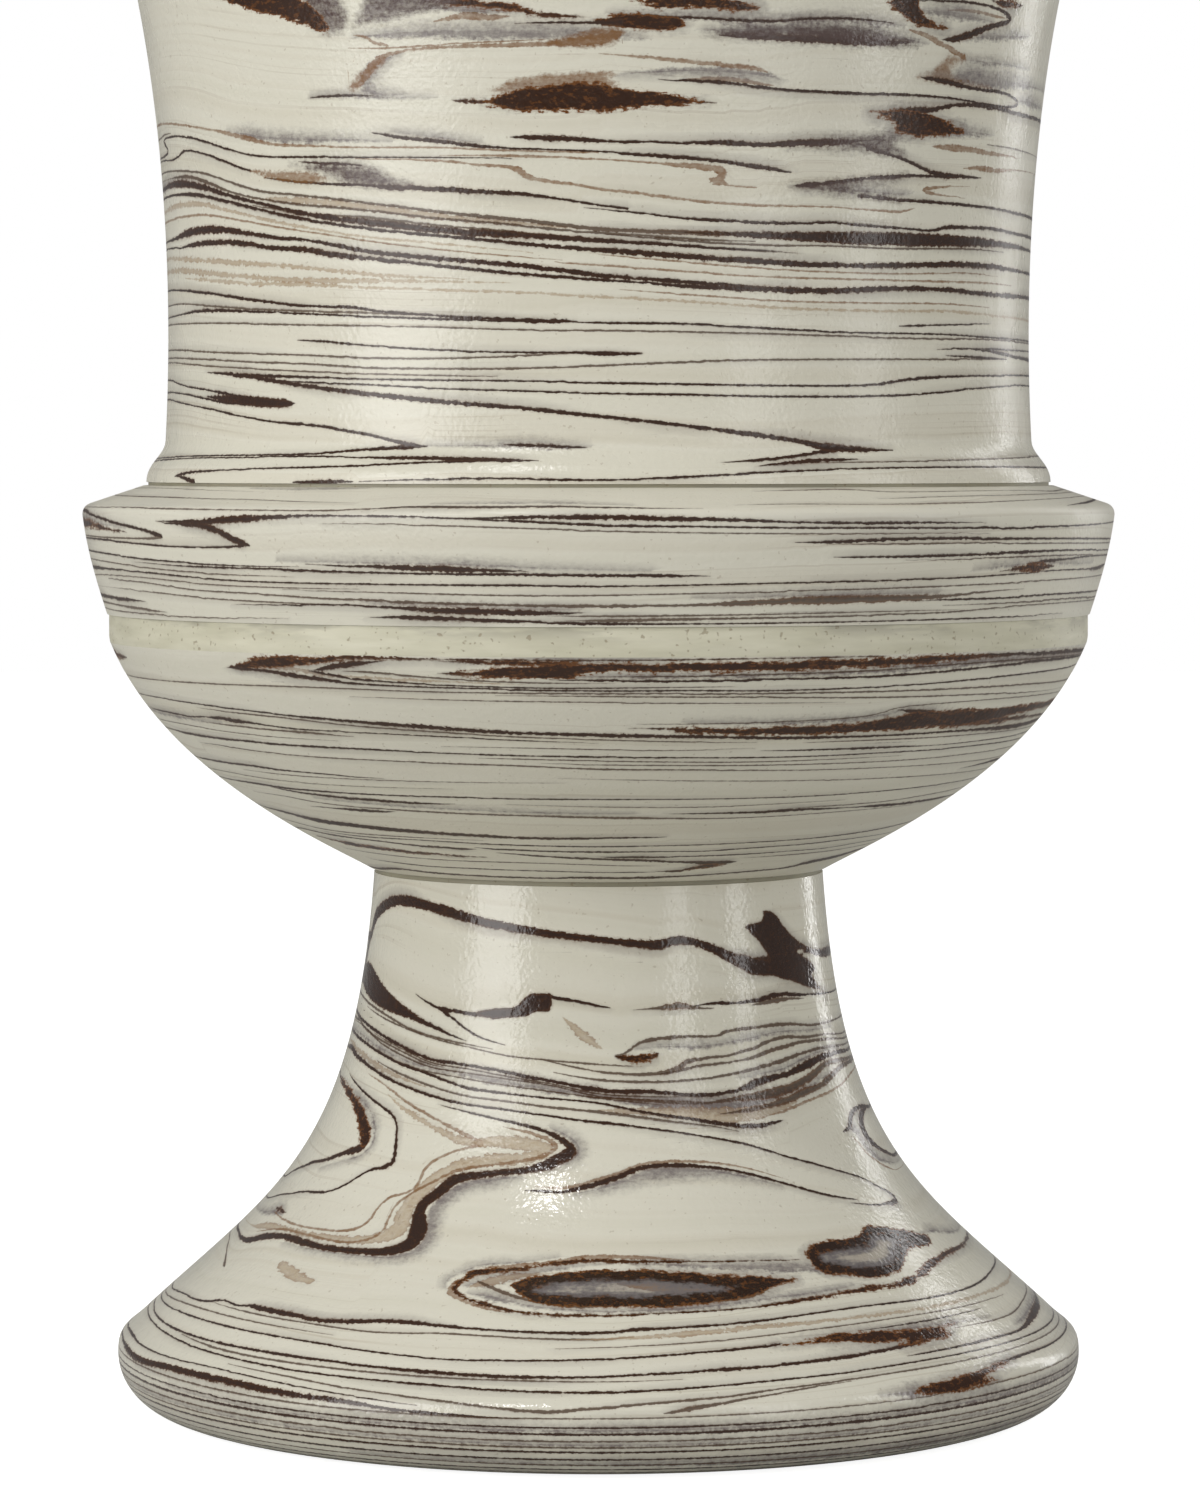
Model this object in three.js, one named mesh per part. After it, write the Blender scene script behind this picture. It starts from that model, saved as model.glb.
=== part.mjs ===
// A pedestal vase of marbled earthenware, thrown in four sections that are luted together with slip.
// Millimetres, +Z up. The origin is the centre of the base, on the surface that the vase stands on.
// Every outline is drawn as (radius, height) and spun round the vertical axis.

import * as THREE from 'three';

// Fineness of the turned forms
const spinSegments = 56;
const flareSteps = 10;
const bowlSteps = 7;
const shoulderSteps = 4;
const neckSteps = 10;
const rollSteps = 3;
const lipSteps = 7;

// Joints between the sections
const jointClearance = 0.4;
const socketDepth = 5.5;
const registerDepth = 5;

// Pedestal foot: its height, stem, wall and the rolled edge that it stands on
const footHeight = 111;
const stemRadius = 46.8;
const stemTopAngle = 274;
const stemPull = 60;
const flareAngle = 317;
const flarePull = 38;
const footWall = 7.5;
const rollRadius = 100.4;
const rollLevel = 11.2;
const rollCrownHeight = 6.8;
const rollCrownInset = 4.4;
const restRingInset = 11.4;
const restRingWidth = 6;
const footSocketWall = 8.5;

// Slip between the stem and the bowl
const footSlipThickness = 1;
const footSlipRecess = 0.4;

// Lower bowl: from its seat on the stem to the seam at the widest part
const lowerBowlHeight = 47;
const bowlLedge = 0.9;
const bowlFootAngle = 30;
const bowlFootPull = 9;
const seamRadius = 101.4;
const seamAngle = 68;
const seamPull = 30;
const bowlWall = 7;
const bowlFloorThickness = 9;
const bowlFloorRadius = 38;
const bowlFloorPull = 14;
const bowlWellPull = 34;
const footRingWidth = 7;
const tongueWidth = 2.6;
const tongueHeight = 5;

// Slip of the bowl's seam: a flat joint and the smeared skin that covers it outside
const seamSlipThickness = 1.2;
const seamBandHeight = 5.4;
const seamBandThickness = 1.4;
const seamBandProud = 0.2;

// Shoulder ring: the upper bowl, its sharp shoulder and its sloping top
const shoulderHeight = 31.1;
const shoulderRadius = 107;
const shoulderLedge = 0.6;
const shoulderSideAngle = 72;
const shoulderSidePull = 8;
const shoulderRimAngle = 83;
const shoulderRimPull = 7;
const shoulderEdgeRound = 1.8;
const shoulderTopSlope = 18.4;
const shoulderWall = 7.5;
const shoulderRoofThickness = 7;
const shoulderFillet = 6;
const neckSeatWidth = 7.5;

// Slip between the shoulder and the neck
const neckSlipThickness = 0.7;
const neckSlipRecess = 0.4;

// Flared neck: its ogee foot, waisted wall, flare and rolled lip
const neckHeight = 158;
const ogeeRadius = 93.8;
const ogeeHeight = 8.6;
const ogeeLowerPull = 4;
const ogeeUpperPull = 3;
const neckRadius = 89.8;
const neckAngle = 93.2;
const neckPull = 67.5;
const lipAngle = 50;
const lipPull = 22.5;
const neckWall = 6.5;
const rimRadius = 116;
const lipRollRadius = 4.2;
const lipRollStart = -60;
const lipRollEnd = 150;
const neckRegisterWidth = 3.2;

// Levels that the sections share, from the floor up
const bowlSeatLevel = footHeight + footSlipThickness;
const seamLevel = bowlSeatLevel + lowerBowlHeight;
const shoulderSeatLevel = seamLevel + seamSlipThickness;
const seamBandLevel = seamLevel + seamBandHeight;
const shoulderTopLevel = shoulderSeatLevel + shoulderHeight;
const neckSeatLevel = shoulderTopLevel + neckSlipThickness;
const overallHeight = neckSeatLevel + neckHeight;

// Radii where one section enters another
const socketRadius = stemRadius - footSocketWall;
const footRingRadius = socketRadius - jointClearance;
const bowlRimInnerRadius = seamRadius - bowlWall;
const tongueRadius = bowlRimInnerRadius + tongueWidth;
const tongueGrooveRadius = tongueRadius + jointClearance;
const neckInnerRadius = neckRadius - neckWall;
const registerRadius = neckInnerRadius + neckRegisterWidth;
const shoulderOpeningRadius = registerRadius + jointClearance;
const shoulderTopRadius = shoulderOpeningRadius + neckSeatWidth;

// Glazed, marbled clay and the plain slip of the joints
const clay = { color: 0xcfc7b4, roughness: 0.38, metalness: 0 };
const darkerClay = { color: 0xc4bba7, roughness: 0.42, metalness: 0 };
const slip = { color: 0xd6cdb2, roughness: 0.6, metalness: 0 };

function point(radius, height) {
  return new THREE.Vector2(radius, height);
}

function heading(angle) {
  const turn = THREE.MathUtils.degToRad(angle);
  return point(Math.cos(turn), Math.sin(turn));
}

// A curve that leaves one point at an angle and arrives at another, each end held by its own pull
function curve(start, startAngle, startPull, end, endAngle, endPull, steps) {
  const leaving = heading(startAngle).multiplyScalar(startPull).add(start);
  const arriving = heading(endAngle).multiplyScalar(-endPull).add(end);
  return new THREE.CubicBezierCurve(start, leaving, arriving, end).getPoints(steps);
}

function rounded(start, corner, end, steps) {
  return new THREE.QuadraticBezierCurve(start, corner, end).getPoints(steps);
}

// The line at a wall's thickness to the left of an outline, as seen along its direction
function leftOffset(outline, wall) {
  return outline.map((place, index) => {
    const before = outline[Math.max(index - 1, 0)];
    const after = outline[Math.min(index + 1, outline.length - 1)];
    const along = after.clone().sub(before).normalize();
    return point(place.x - along.y * wall, place.y + along.x * wall);
  });
}

// Spins an outline round the vertical axis and names the piece. An outline that runs
// anticlockwise gives faces that point outwards, so one that runs clockwise is reversed.
function turned(name, outline, finish) {
  const runsClockwise = THREE.ShapeUtils.area(outline) < 0;
  const ordered = runsClockwise ? outline.slice().reverse() : outline;
  const closed = ordered.concat([ordered[0].clone()]);
  const geometry = new THREE.LatheGeometry(closed, spinSegments);
  geometry.rotateX(Math.PI / 2);
  const mesh = new THREE.Mesh(geometry, new THREE.MeshStandardMaterial(finish));
  mesh.name = name;
  return mesh;
}

// Hollow, open below: it stands on the flat ring under its roll, and its stem ends in a socket
function pedestalFoot() {
  const crown = point(rollRadius - rollCrownInset, rollLevel + rollCrownHeight);
  const widest = point(rollRadius, rollLevel);
  const ringOuter = point(rollRadius - restRingInset, 0);
  const ringInner = point(ringOuter.x - restRingWidth, 0);
  const flare = curve(
    point(stemRadius, footHeight), stemTopAngle, stemPull,
    crown, flareAngle, flarePull, flareSteps,
  );
  const upperRoll = curve(
    crown, flareAngle, rollCrownInset, widest, 270, rollCrownInset, rollSteps,
  );
  const lowerRoll = new THREE.EllipseCurve(
    ringOuter.x, rollLevel, restRingInset, rollLevel, 0, -Math.PI / 2, true,
  ).getPoints(rollSteps);
  const socketFloor = footHeight - socketDepth;
  const inside = leftOffset(flare, -footWall).filter((place) => {
    return place.x < ringInner.x && place.y < socketFloor - jointClearance;
  });
  const socket = [point(inside[0].x, socketFloor)];
  socket.push(point(socketRadius, socketFloor));
  socket.push(point(socketRadius, footHeight));
  const outside = flare.concat(upperRoll.slice(1), lowerRoll.slice(1));
  const outline = outside.concat([ringInner], inside.reverse(), socket);
  return turned('pedestal_foot', outline, darkerClay);
}

function footJointSlip() {
  const outer = stemRadius - footSlipRecess;
  const outline = [
    point(socketRadius, footHeight),
    point(outer, footHeight),
    point(outer, bowlSeatLevel),
    point(socketRadius, bowlSeatLevel),
  ];
  return turned('foot_joint_slip', outline, slip);
}

// The foot ring under the floor sits in the stem's socket, and the tongue stands inside the rim
function lowerBowl() {
  const floorLevel = bowlSeatLevel + bowlFloorThickness;
  const ringBottom = bowlSeatLevel - registerDepth;
  const ringInner = footRingRadius - footRingWidth;
  const outside = curve(
    point(stemRadius + bowlLedge, bowlSeatLevel), bowlFootAngle, bowlFootPull,
    point(seamRadius, seamLevel), seamAngle, seamPull, bowlSteps,
  );
  const inside = curve(
    point(bowlRimInnerRadius, seamLevel), seamAngle + 180, bowlWellPull,
    point(bowlFloorRadius, floorLevel), 180, bowlFloorPull, bowlSteps,
  );
  const outline = [
    point(0, bowlSeatLevel),
    point(ringInner, bowlSeatLevel),
    point(ringInner, ringBottom),
    point(footRingRadius, ringBottom),
    point(footRingRadius, bowlSeatLevel),
    ...outside,
    point(tongueRadius, seamLevel),
    point(tongueRadius, seamLevel + tongueHeight),
    point(bowlRimInnerRadius, seamLevel + tongueHeight),
    ...inside,
    point(0, floorLevel),
  ];
  return turned('lower_bowl', outline, clay);
}

// A flat ring between the rims, and the upright skin that was smeared over the joint outside
function bowlSeamSlip() {
  const skinOuter = seamRadius + seamBandProud;
  const skinInner = skinOuter - seamBandThickness;
  const outline = [
    point(tongueGrooveRadius, seamLevel),
    point(seamRadius, seamLevel),
    point(skinOuter, shoulderSeatLevel),
    point(skinOuter, seamBandLevel),
    point(skinInner, seamBandLevel),
    point(skinInner, shoulderSeatLevel),
    point(tongueGrooveRadius, shoulderSeatLevel),
  ];
  return turned('bowl_seam_slip', outline, slip);
}

// Its lower edge is stepped inside for the bowl's tongue and outside for the slip's skin
function shoulderRing() {
  const slope = Math.tan(THREE.MathUtils.degToRad(shoulderTopSlope));
  const topHeightAt = (radius) => shoulderTopLevel - (radius - shoulderTopRadius) * slope;
  const roofHeightAt = (radius) => topHeightAt(radius) - shoulderRoofThickness;
  const skinStep = seamRadius + seamBandProud - seamBandThickness - jointClearance;
  const skinStepLevel = seamBandLevel + jointClearance;
  const edge = point(shoulderRadius, topHeightAt(shoulderRadius));
  const edgeInward = shoulderRadius - shoulderEdgeRound;
  const side = curve(
    point(seamRadius + shoulderLedge, skinStepLevel), shoulderSideAngle, shoulderSidePull,
    point(shoulderRadius, edge.y - shoulderEdgeRound), shoulderRimAngle, shoulderRimPull, shoulderSteps,
  );
  const shoulderEdge = rounded(
    side[side.length - 1], edge, point(edgeInward, topHeightAt(edgeInward)), rollSteps,
  );
  const insideRadius = shoulderRadius - shoulderWall;
  const insideCorner = point(insideRadius, roofHeightAt(insideRadius));
  const filletEnd = insideRadius - shoulderFillet;
  const fillet = rounded(
    point(filletEnd, roofHeightAt(filletEnd)),
    insideCorner,
    point(insideRadius, insideCorner.y - shoulderFillet),
    rollSteps,
  );
  const grooveTop = seamLevel + tongueHeight + jointClearance;
  const outline = [
    point(tongueGrooveRadius, shoulderSeatLevel),
    point(skinStep, shoulderSeatLevel),
    point(skinStep, skinStepLevel),
    ...side,
    ...shoulderEdge.slice(1),
    point(shoulderTopRadius, shoulderTopLevel),
    point(shoulderOpeningRadius, shoulderTopLevel),
    point(shoulderOpeningRadius, roofHeightAt(shoulderTopRadius)),
    ...fillet,
    point(bowlRimInnerRadius, grooveTop),
    point(tongueGrooveRadius, grooveTop),
  ];
  return turned('shoulder_ring', outline, clay);
}

function neckJointSlip() {
  const outer = ogeeRadius - neckSlipRecess;
  const outline = [
    point(shoulderOpeningRadius, shoulderTopLevel),
    point(outer, shoulderTopLevel),
    point(outer, neckSeatLevel),
    point(shoulderOpeningRadius, neckSeatLevel),
  ];
  return turned('neck_joint_slip', outline, slip);
}

// The register below the seat enters the shoulder's opening, and the lip is rolled outwards
function flaredNeck() {
  const ogeeTop = point(neckRadius, neckSeatLevel + ogeeHeight);
  const ogee = curve(
    point(ogeeRadius, neckSeatLevel), 90, ogeeLowerPull, ogeeTop, 90, ogeeUpperPull, rollSteps,
  );
  const lipCentre = point(rimRadius - lipRollRadius, overallHeight - lipRollRadius);
  const lipStart = heading(lipRollStart).multiplyScalar(lipRollRadius).add(lipCentre);
  const wall = curve(ogeeTop, neckAngle, neckPull, lipStart, lipAngle, lipPull, neckSteps);
  const lip = new THREE.EllipseCurve(
    lipCentre.x, lipCentre.y, lipRollRadius, lipRollRadius,
    THREE.MathUtils.degToRad(lipRollStart), THREE.MathUtils.degToRad(lipRollEnd),
  ).getPoints(lipSteps);
  const inside = leftOffset(wall, neckWall).slice(1).reverse();
  const registerBottom = neckSeatLevel - registerDepth;
  const outline = [
    point(neckInnerRadius, registerBottom),
    point(registerRadius, registerBottom),
    point(registerRadius, neckSeatLevel),
    ...ogee,
    ...wall.slice(1),
    ...lip.slice(1),
    ...inside,
  ];
  return turned('flared_neck', outline, clay);
}

const pedestalVase = new THREE.Group();
pedestalVase.add(pedestalFoot());
pedestalVase.add(footJointSlip());
pedestalVase.add(lowerBowl());
pedestalVase.add(bowlSeamSlip());
pedestalVase.add(shoulderRing());
pedestalVase.add(neckJointSlip());
pedestalVase.add(flaredNeck());

export default pedestalVase;
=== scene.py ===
# A pedestal vase of marbled earthenware under a clear satin glaze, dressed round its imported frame.
# Sizes are millimetres. Angles on a piece run in degrees from the front, positive to the right.

import math

import bpy
import numpy as np
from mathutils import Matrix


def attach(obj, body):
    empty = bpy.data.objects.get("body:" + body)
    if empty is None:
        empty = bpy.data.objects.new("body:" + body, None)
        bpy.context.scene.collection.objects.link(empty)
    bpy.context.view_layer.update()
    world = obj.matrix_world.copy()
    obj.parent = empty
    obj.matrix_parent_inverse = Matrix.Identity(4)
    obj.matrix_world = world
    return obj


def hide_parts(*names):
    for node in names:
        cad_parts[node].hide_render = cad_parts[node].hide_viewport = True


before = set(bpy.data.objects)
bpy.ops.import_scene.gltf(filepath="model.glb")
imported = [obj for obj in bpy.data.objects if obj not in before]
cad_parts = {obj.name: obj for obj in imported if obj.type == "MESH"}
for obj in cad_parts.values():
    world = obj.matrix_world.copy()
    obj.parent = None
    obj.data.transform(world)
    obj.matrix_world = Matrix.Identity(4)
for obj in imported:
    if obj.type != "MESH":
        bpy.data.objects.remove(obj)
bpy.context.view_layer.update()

# The view: a long lens a little over a metre away, just above the middle of the vase
# and tipped down by three degrees.
mm = 0.001
view_distance = 1187.5
view_height = 197.57
view_tip = 2.963
view_lens = 136.8
view_shift = 0.001
bpy.ops.object.camera_add(
    location=(0, -view_distance * mm, view_height * mm),
    rotation=(math.radians(90 - view_tip), 0, 0),
)
camera = bpy.context.object
camera.data.lens = view_lens
camera.data.shift_x = view_shift
bpy.context.scene.camera = camera
bpy.context.scene.view_settings.view_transform = "Standard"

# Pedestal foot: the lowest of the four thrown sections, marbled earthenware with a clear satin
# glaze. It is thrown hollow, trimmed to a rolled edge, and stands on a flat ring under that roll.
foot_height = 111
stem_radius = 46.8
stem_top_angle = 274
stem_pull = 60
flare_angle = 317
flare_pull = 38
foot_wall = 7.5
roll_radius = 100.4
roll_level = 11.2
roll_crown_height = 6.8
roll_crown_inset = 4.4
rest_ring_inset = 11.4
rest_ring_width = 6
foot_socket_wall = 8.5
socket_depth = 5.5
joint_clearance = 0.4
turns = 400
skin_spacing = 1.0
hidden_spacing = 5.0
curve_samples = 400
arc_samples = 90
weld = 0.01
crease = math.radians(38)
unroll_batch = 8192


def heading(angle):
    """The direction at an angle from outward, as a step in radius and height."""
    return np.array((math.cos(math.radians(angle)), math.sin(math.radians(angle))))


def even(points, spacing):
    """The same line with its points spaced evenly along it."""
    points = np.asarray(points, float)
    along = np.concatenate(([0], np.cumsum(np.hypot(*np.diff(points, axis=0).T))))
    stops = np.linspace(0, along[-1], max(2, round(along[-1] / spacing) + 1))
    return np.column_stack((np.interp(stops, along, points[:, 0]), np.interp(stops, along, points[:, 1])))


def curve(start, start_angle, start_pull, end, end_angle, end_pull, spacing=skin_spacing):
    """A curve that leaves one point at an angle and reaches another, each held by its own pull."""
    start = np.asarray(start, float)
    end = np.asarray(end, float)
    leaving = start + heading(start_angle) * start_pull
    arriving = end - heading(end_angle) * end_pull
    t = np.linspace(0, 1, curve_samples)[:, None]
    points = start * (1 - t) ** 3 + end * t ** 3
    points += 3 * leaving * t * (1 - t) ** 2 + 3 * arriving * t ** 2 * (1 - t)
    return even(points, spacing)


def arc(centre, across, up, first, last, spacing=skin_spacing):
    """Part of an ellipse between two angles."""
    angles = np.radians(np.linspace(first, last, arc_samples))
    points = np.column_stack((centre[0] + across * np.cos(angles), centre[1] + up * np.sin(angles)))
    return even(points, spacing)


def offset_left(points, wall, spacing=hidden_spacing):
    """The line at a wall's thickness to the left of an outline."""
    along = np.gradient(points, axis=0)
    along /= np.linalg.norm(along, axis=1)[:, None]
    return even(points + wall * np.column_stack((-along[:, 1], along[:, 0])), spacing)


def places(piece):
    """Radius, height in millimetres and angle in degrees of every vertex."""
    flat = np.empty(len(piece.data.vertices) * 3)
    piece.data.vertices.foreach_get("co", flat)
    x, y, z = flat.reshape(-1, 3).T / mm
    return np.hypot(x, y), z, np.degrees(np.arctan2(x, -y))


def unroll(piece, outline):
    """Lays the surface out flat for the baked maps: the turn runs across, the outline's length up."""
    outline = np.asarray(outline, float)
    steps = np.hypot(*np.diff(np.concatenate((outline, outline[:1])), axis=0).T)
    along = np.concatenate(([0], np.cumsum(steps[:-1]))) / steps.sum()
    radii, heights, _ = places(piece)
    nearest = np.empty(len(radii))
    for start in range(0, len(radii), unroll_batch):
        part = slice(start, start + unroll_batch)
        gap = np.abs(radii[part, None] - outline[:, 0]) + np.abs(heights[part, None] - outline[:, 1])
        nearest[part] = along[gap.argmin(axis=1)]
    corners = np.empty(len(piece.data.loops), np.int32)
    piece.data.loops.foreach_get("vertex_index", corners)
    starts = np.empty(len(piece.data.polygons), np.int32)
    piece.data.polygons.foreach_get("loop_start", starts)
    map_data = piece.data.uv_layers[0].data
    flat = np.empty(len(corners) * 2, np.float32)
    map_data.foreach_get("uv", flat)
    up = nearest[corners]
    face = np.repeat(np.arange(len(starts)), np.diff(np.append(starts, len(corners))))
    spread = np.maximum.reduceat(up, starts) - np.minimum.reduceat(up, starts)
    # The faces that close the outline end at the top of the map, where its start is again
    flat[1::2] = np.where((spread[face] > 0.5) & (up < 0.5), 1, up)
    map_data.foreach_set("uv", flat)


def turned(name, outline):
    """A ring of points is laid on the section's outline and spun round the vase's axis."""
    bpy.ops.object.select_all(action="DESELECT")
    bpy.ops.mesh.primitive_circle_add(vertices=len(outline), radius=stem_radius * mm)
    piece = bpy.context.object
    piece.name = name
    piece.data.uv_layers[0].name = "OFBake"
    for vertex, (radius, height) in zip(piece.data.vertices, outline):
        vertex.co = (0, -radius * mm, height * mm)
    bpy.ops.object.transform_apply()
    bpy.ops.object.modifier_add(type="SCREW")
    spin = piece.modifiers[-1]
    spin.steps = spin.render_steps = turns
    spin.use_merge_vertices = True
    spin.merge_threshold = weld * mm
    bpy.ops.object.modifier_apply(modifier=spin.name)
    bpy.ops.object.mode_set(mode="EDIT")
    bpy.ops.mesh.select_all(action="SELECT")
    bpy.ops.mesh.remove_doubles(threshold=weld * mm)
    bpy.ops.mesh.delete_loose()
    bpy.ops.mesh.select_all(action="SELECT")
    bpy.ops.mesh.normals_make_consistent(inside=False)
    bpy.ops.object.mode_set(mode="OBJECT")
    bpy.ops.object.shade_smooth_by_angle(angle=crease)
    unroll(piece, outline)
    return piece


# How each kind of vein lies in the clay: its tone on the stain's scale and the softness of its edge.
# A stroke is drawn along its middle, with a half width, and a patch is given by its outline.
stroke_kinds = {
    "smoke": (0.5, 1.3),
    "taupe": (0.35, 0.4),
    "rust": (0.15, 0.2),
    "fine": (0.75, 0.2),
    "ink": (1.0, 0.22),
    "lens": (0.95, 0.45),
}
patch_kinds = {
    "mist": (0.6, 1.0),
    "stain": (0.15, 0.7),
    "spot": (0.35, 0.4),
    "blot": (0.85, 0.45),
    "gash": (0.95, 0.4),
    "torn": (1.0, 0.12),
}
vein_kinds = {**stroke_kinds, **patch_kinds}
# What a point far from every vein carries: distance, half width, tone and softness
bare = (9, -2, 0, 0.3)
vein_layers = 12
# A vein's line is smoothed in steps this long, where a degree of turn counts as so many millimetres
vein_step = 0.4
shortest_step = 0.05
arc_of_a_degree = 1.6
# A vein is looked for and written this far past its soft edge, and a dark one as far as its halo more
search_margin = 2
vein_margin = 2.1
halo_reach = 1.4
dark_tone = 0.9
# Past the first of these its record fades back to bare clay, over the length of the second
spill_margin = 1.2
spill_end = 0.8
# Ahead of a stroke's tip its width tapers, and a point more ahead than abreast has its full distance
tip_taper = 1.5
least_side = 0.8
turn_batch = 8
# A patch is recorded like a stroke of at least this half width, and is looked for this far round it
patch_half = 1
patch_margin = 4
patch_margin_turn = 6
# A vein that reaches this angle at a side runs on over the back, drawn out and in a slow wave
front_edge = 74
back_draw = 0.16
back_wave = 2.2
back_wave_rate = 0.11
back_drop = 1.2
# Veins longer than this turn bend the faint threads near them
strata_span = 110
strata_reach = 9
strata_rest = 0.004
# The pattern comes again so many turns round near the rim. Inside the wall the veins turn gradually
# over a depth below the rim, and start at a height above the skin's lowest point.
repeat_turn = 0.29
inner_turn_depth = 40
inner_start = 12
# How near a vertex has to be to the outer skin to count as a point of it
skin_tolerance = 0.35
level_tolerance = 0.02


def smooth_run(points, step):
    """A smooth line through given points of angle, height along the skin and half width."""
    points = np.asarray(points, float)
    reach = np.hypot(np.diff(points[:, 0]) * arc_of_a_degree, np.diff(points[:, 1]))
    reach = np.maximum(reach, shortest_step)
    at = np.concatenate(([0], np.cumsum(reach)))
    slopes = np.empty_like(points)
    slopes[1:-1] = (points[2:] - points[:-2]) / (at[2:] - at[:-2])[:, None]
    slopes[0] = (points[1] - points[0]) / reach[0]
    slopes[-1] = (points[-1] - points[-2]) / reach[-1]
    pieces = []
    for index, length in enumerate(reach):
        t = np.linspace(0, 1, max(3, math.ceil(length / step)), endpoint=index == len(reach) - 1)[:, None]
        pieces.append(
            points[index] * (1 + 2 * t) * (1 - t) ** 2
            + slopes[index] * length * t * (1 - t) ** 2
            + points[index + 1] * t ** 2 * (3 - 2 * t)
            + slopes[index + 1] * length * t ** 2 * (t - 1)
        )
    return np.concatenate(pieces)


def closed_round(vein):
    """The vein as the front shows it and, mirrored and drawn out, as it runs on round the back."""
    kind, level = vein[:2]
    tip = (*vein[-1], 0)[:3]
    half = 0
    points = []
    for angle, rise, *width in (*vein[2:-1], tip):
        half = width[0] if width else half
        points.append((angle, round(level + rise, 2), half))
    flipped = kind in stroke_kinds and points[0][0] > points[-1][0]
    if flipped:
        points.reverse()
    back = []
    for angle, height, half in reversed(points):
        swing = math.cos(math.radians(angle))
        lift = swing * (back_wave * math.sin(angle * back_wave_rate) - back_drop)
        back.append((180 - angle * (1 - back_draw * swing), height + lift, half))
    from_left = kind in stroke_kinds and points[0][0] <= -front_edge
    to_right = kind in stroke_kinds and points[-1][0] >= front_edge
    if to_right:
        closed = [(points + back, from_left)]
    elif from_left:
        closed = [([(angle - 360, height, half) for angle, height, half in back] + points, False)]
    else:
        closed = [(points, False), (back, False)]
    return [(kind, flipped, line, ring) for line, ring in closed]


def stroke_distance(line, soft, halo, ring, skin, climb, angles):
    """For the skin's points near a stroke: their places, to which side they lie, and how far."""
    radius = np.interp(line[:, 1], climb, skin[:, 0])
    along = np.gradient(line[:, :2], axis=0)
    along[:, 0] *= np.radians(radius)
    # The course of the line is averaged over five of its points
    for axis in (0, 1):
        along[2:-2, axis] = np.convolve(along[:, axis], np.ones(5) / 5, "valid")
    along /= np.maximum(np.linalg.norm(along, axis=1), 1e-9)[:, None]
    reach = line[:, 2].max() + soft + search_margin + halo_reach
    half_batch = turn_batch * 180 / turns
    found = []
    for start in range(0, turns, turn_batch):
        middle = angles[start] + (turn_batch - 1) * 180 / turns
        apart = (line[:, 0] - middle + 180) % 360 - 180
        near = np.abs(np.radians(apart) * radius) < reach + np.radians(half_batch) * radius
        if not near.any():
            continue
        chosen = np.flatnonzero(near)
        band = (line[chosen, 1].min() - reach, line[chosen, 1].max() + reach)
        low, high = np.searchsorted(climb, band)
        columns = np.arange(start, start + turn_batch)
        off = (angles[columns][:, None] - line[chosen, 0] + 180) % 360 - 180
        across = np.radians(off)[None] * skin[low:high, 0][:, None, None]
        rise = (climb[low:high][:, None] - line[chosen, 1])[:, None, :]
        gap = across ** 2 + rise ** 2
        best = gap.argmin(axis=2)
        row, column = np.indices(best.shape)
        dx = across[row, column, best]
        dz = rise[row, 0, best]
        index = chosen[best]
        side = dz * along[index, 0] - dx * along[index, 1]
        # Past its ends a stroke runs out, unless it closes on itself
        ahead = dx * along[index, 0] + dz * along[index, 1]
        over = np.where(index == len(line) - 1, ahead, 0)
        over = np.where(index == 0, -ahead, over)
        half = line[index, 2] - (0 if ring else tip_taper) * np.maximum(over, 0)
        distance = np.sqrt(gap[row, column, best])
        keep = distance < line[index, 2] + soft + vein_margin + halo * np.minimum(line[index, 2], 1)
        found.append((row[keep] + low, columns[column[keep]], side[keep], half[keep], distance[keep]))
    row, column, side, half, distance = (np.concatenate(part) for part in zip(*found))
    side = np.where(np.abs(side) < least_side * distance, np.copysign(distance, side), side)
    return row, column, side, half, distance


def patch_distance(points, soft, halo, skin, climb, angles):
    """The same for the points near a patch, whose half width is measured inwards from its edge."""
    edge = smooth_run(np.concatenate((points, points[:1])), vein_step)
    low, high = np.searchsorted(climb, (edge[:, 1].min() - patch_margin, edge[:, 1].max() + patch_margin))
    middle = (edge[:, 0].min() + edge[:, 0].max()) / 2
    apart = (angles - middle + 180) % 360 - 180
    columns = np.flatnonzero(np.abs(apart) < edge[:, 0].max() - middle + patch_margin_turn)
    across = apart[columns][:, None] + middle - edge[:, 0]
    rise = climb[low:high][:, None] - edge[:, 1]
    wide = np.radians(across)[None] * skin[low:high, 0][:, None, None]
    outward = np.sqrt((wide ** 2 + rise[:, None] ** 2).min(axis=2))
    # A point lies inside where a line drawn from it to one side crosses the edge an odd number of times
    spans = (rise[:, :-1] < 0) != (rise[:, 1:] < 0)
    climbing = np.where(spans, edge[1:, 1] - edge[:-1, 1], 1)
    meets = edge[:-1, 0] + rise[:, :-1] * (edge[1:, 0] - edge[:-1, 0]) / climbing
    beyond = meets[:, None] > (apart[columns] + middle)[None, :, None]
    inside = (beyond & spans[:, None]).sum(axis=2) % 2 == 1
    outward = np.where(inside, -outward, outward)
    row, column = np.nonzero(outward < vein_margin + soft + halo)
    outward = outward[row, column]
    distance = np.maximum(outward + patch_half, 0)
    return row + low, columns[column], distance, np.maximum(-outward, patch_half), distance


def bend_of_clay(line, climb, angles):
    """How a long vein lifts the lie of the clay beside it, and how strongly it does so."""
    turned_angle = np.where(angles > line[-1, 0], angles - 360, angles)
    level = np.interp(turned_angle, line[:, 0], line[:, 1], left=np.nan, right=np.nan)
    known = ~np.isnan(level)
    level = np.where(known, level, 0)
    pull = 1 / ((climb[:, None] - level) ** 2 + strata_reach) * known
    return pull * (level - line[:, 1].mean()), pull


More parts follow.
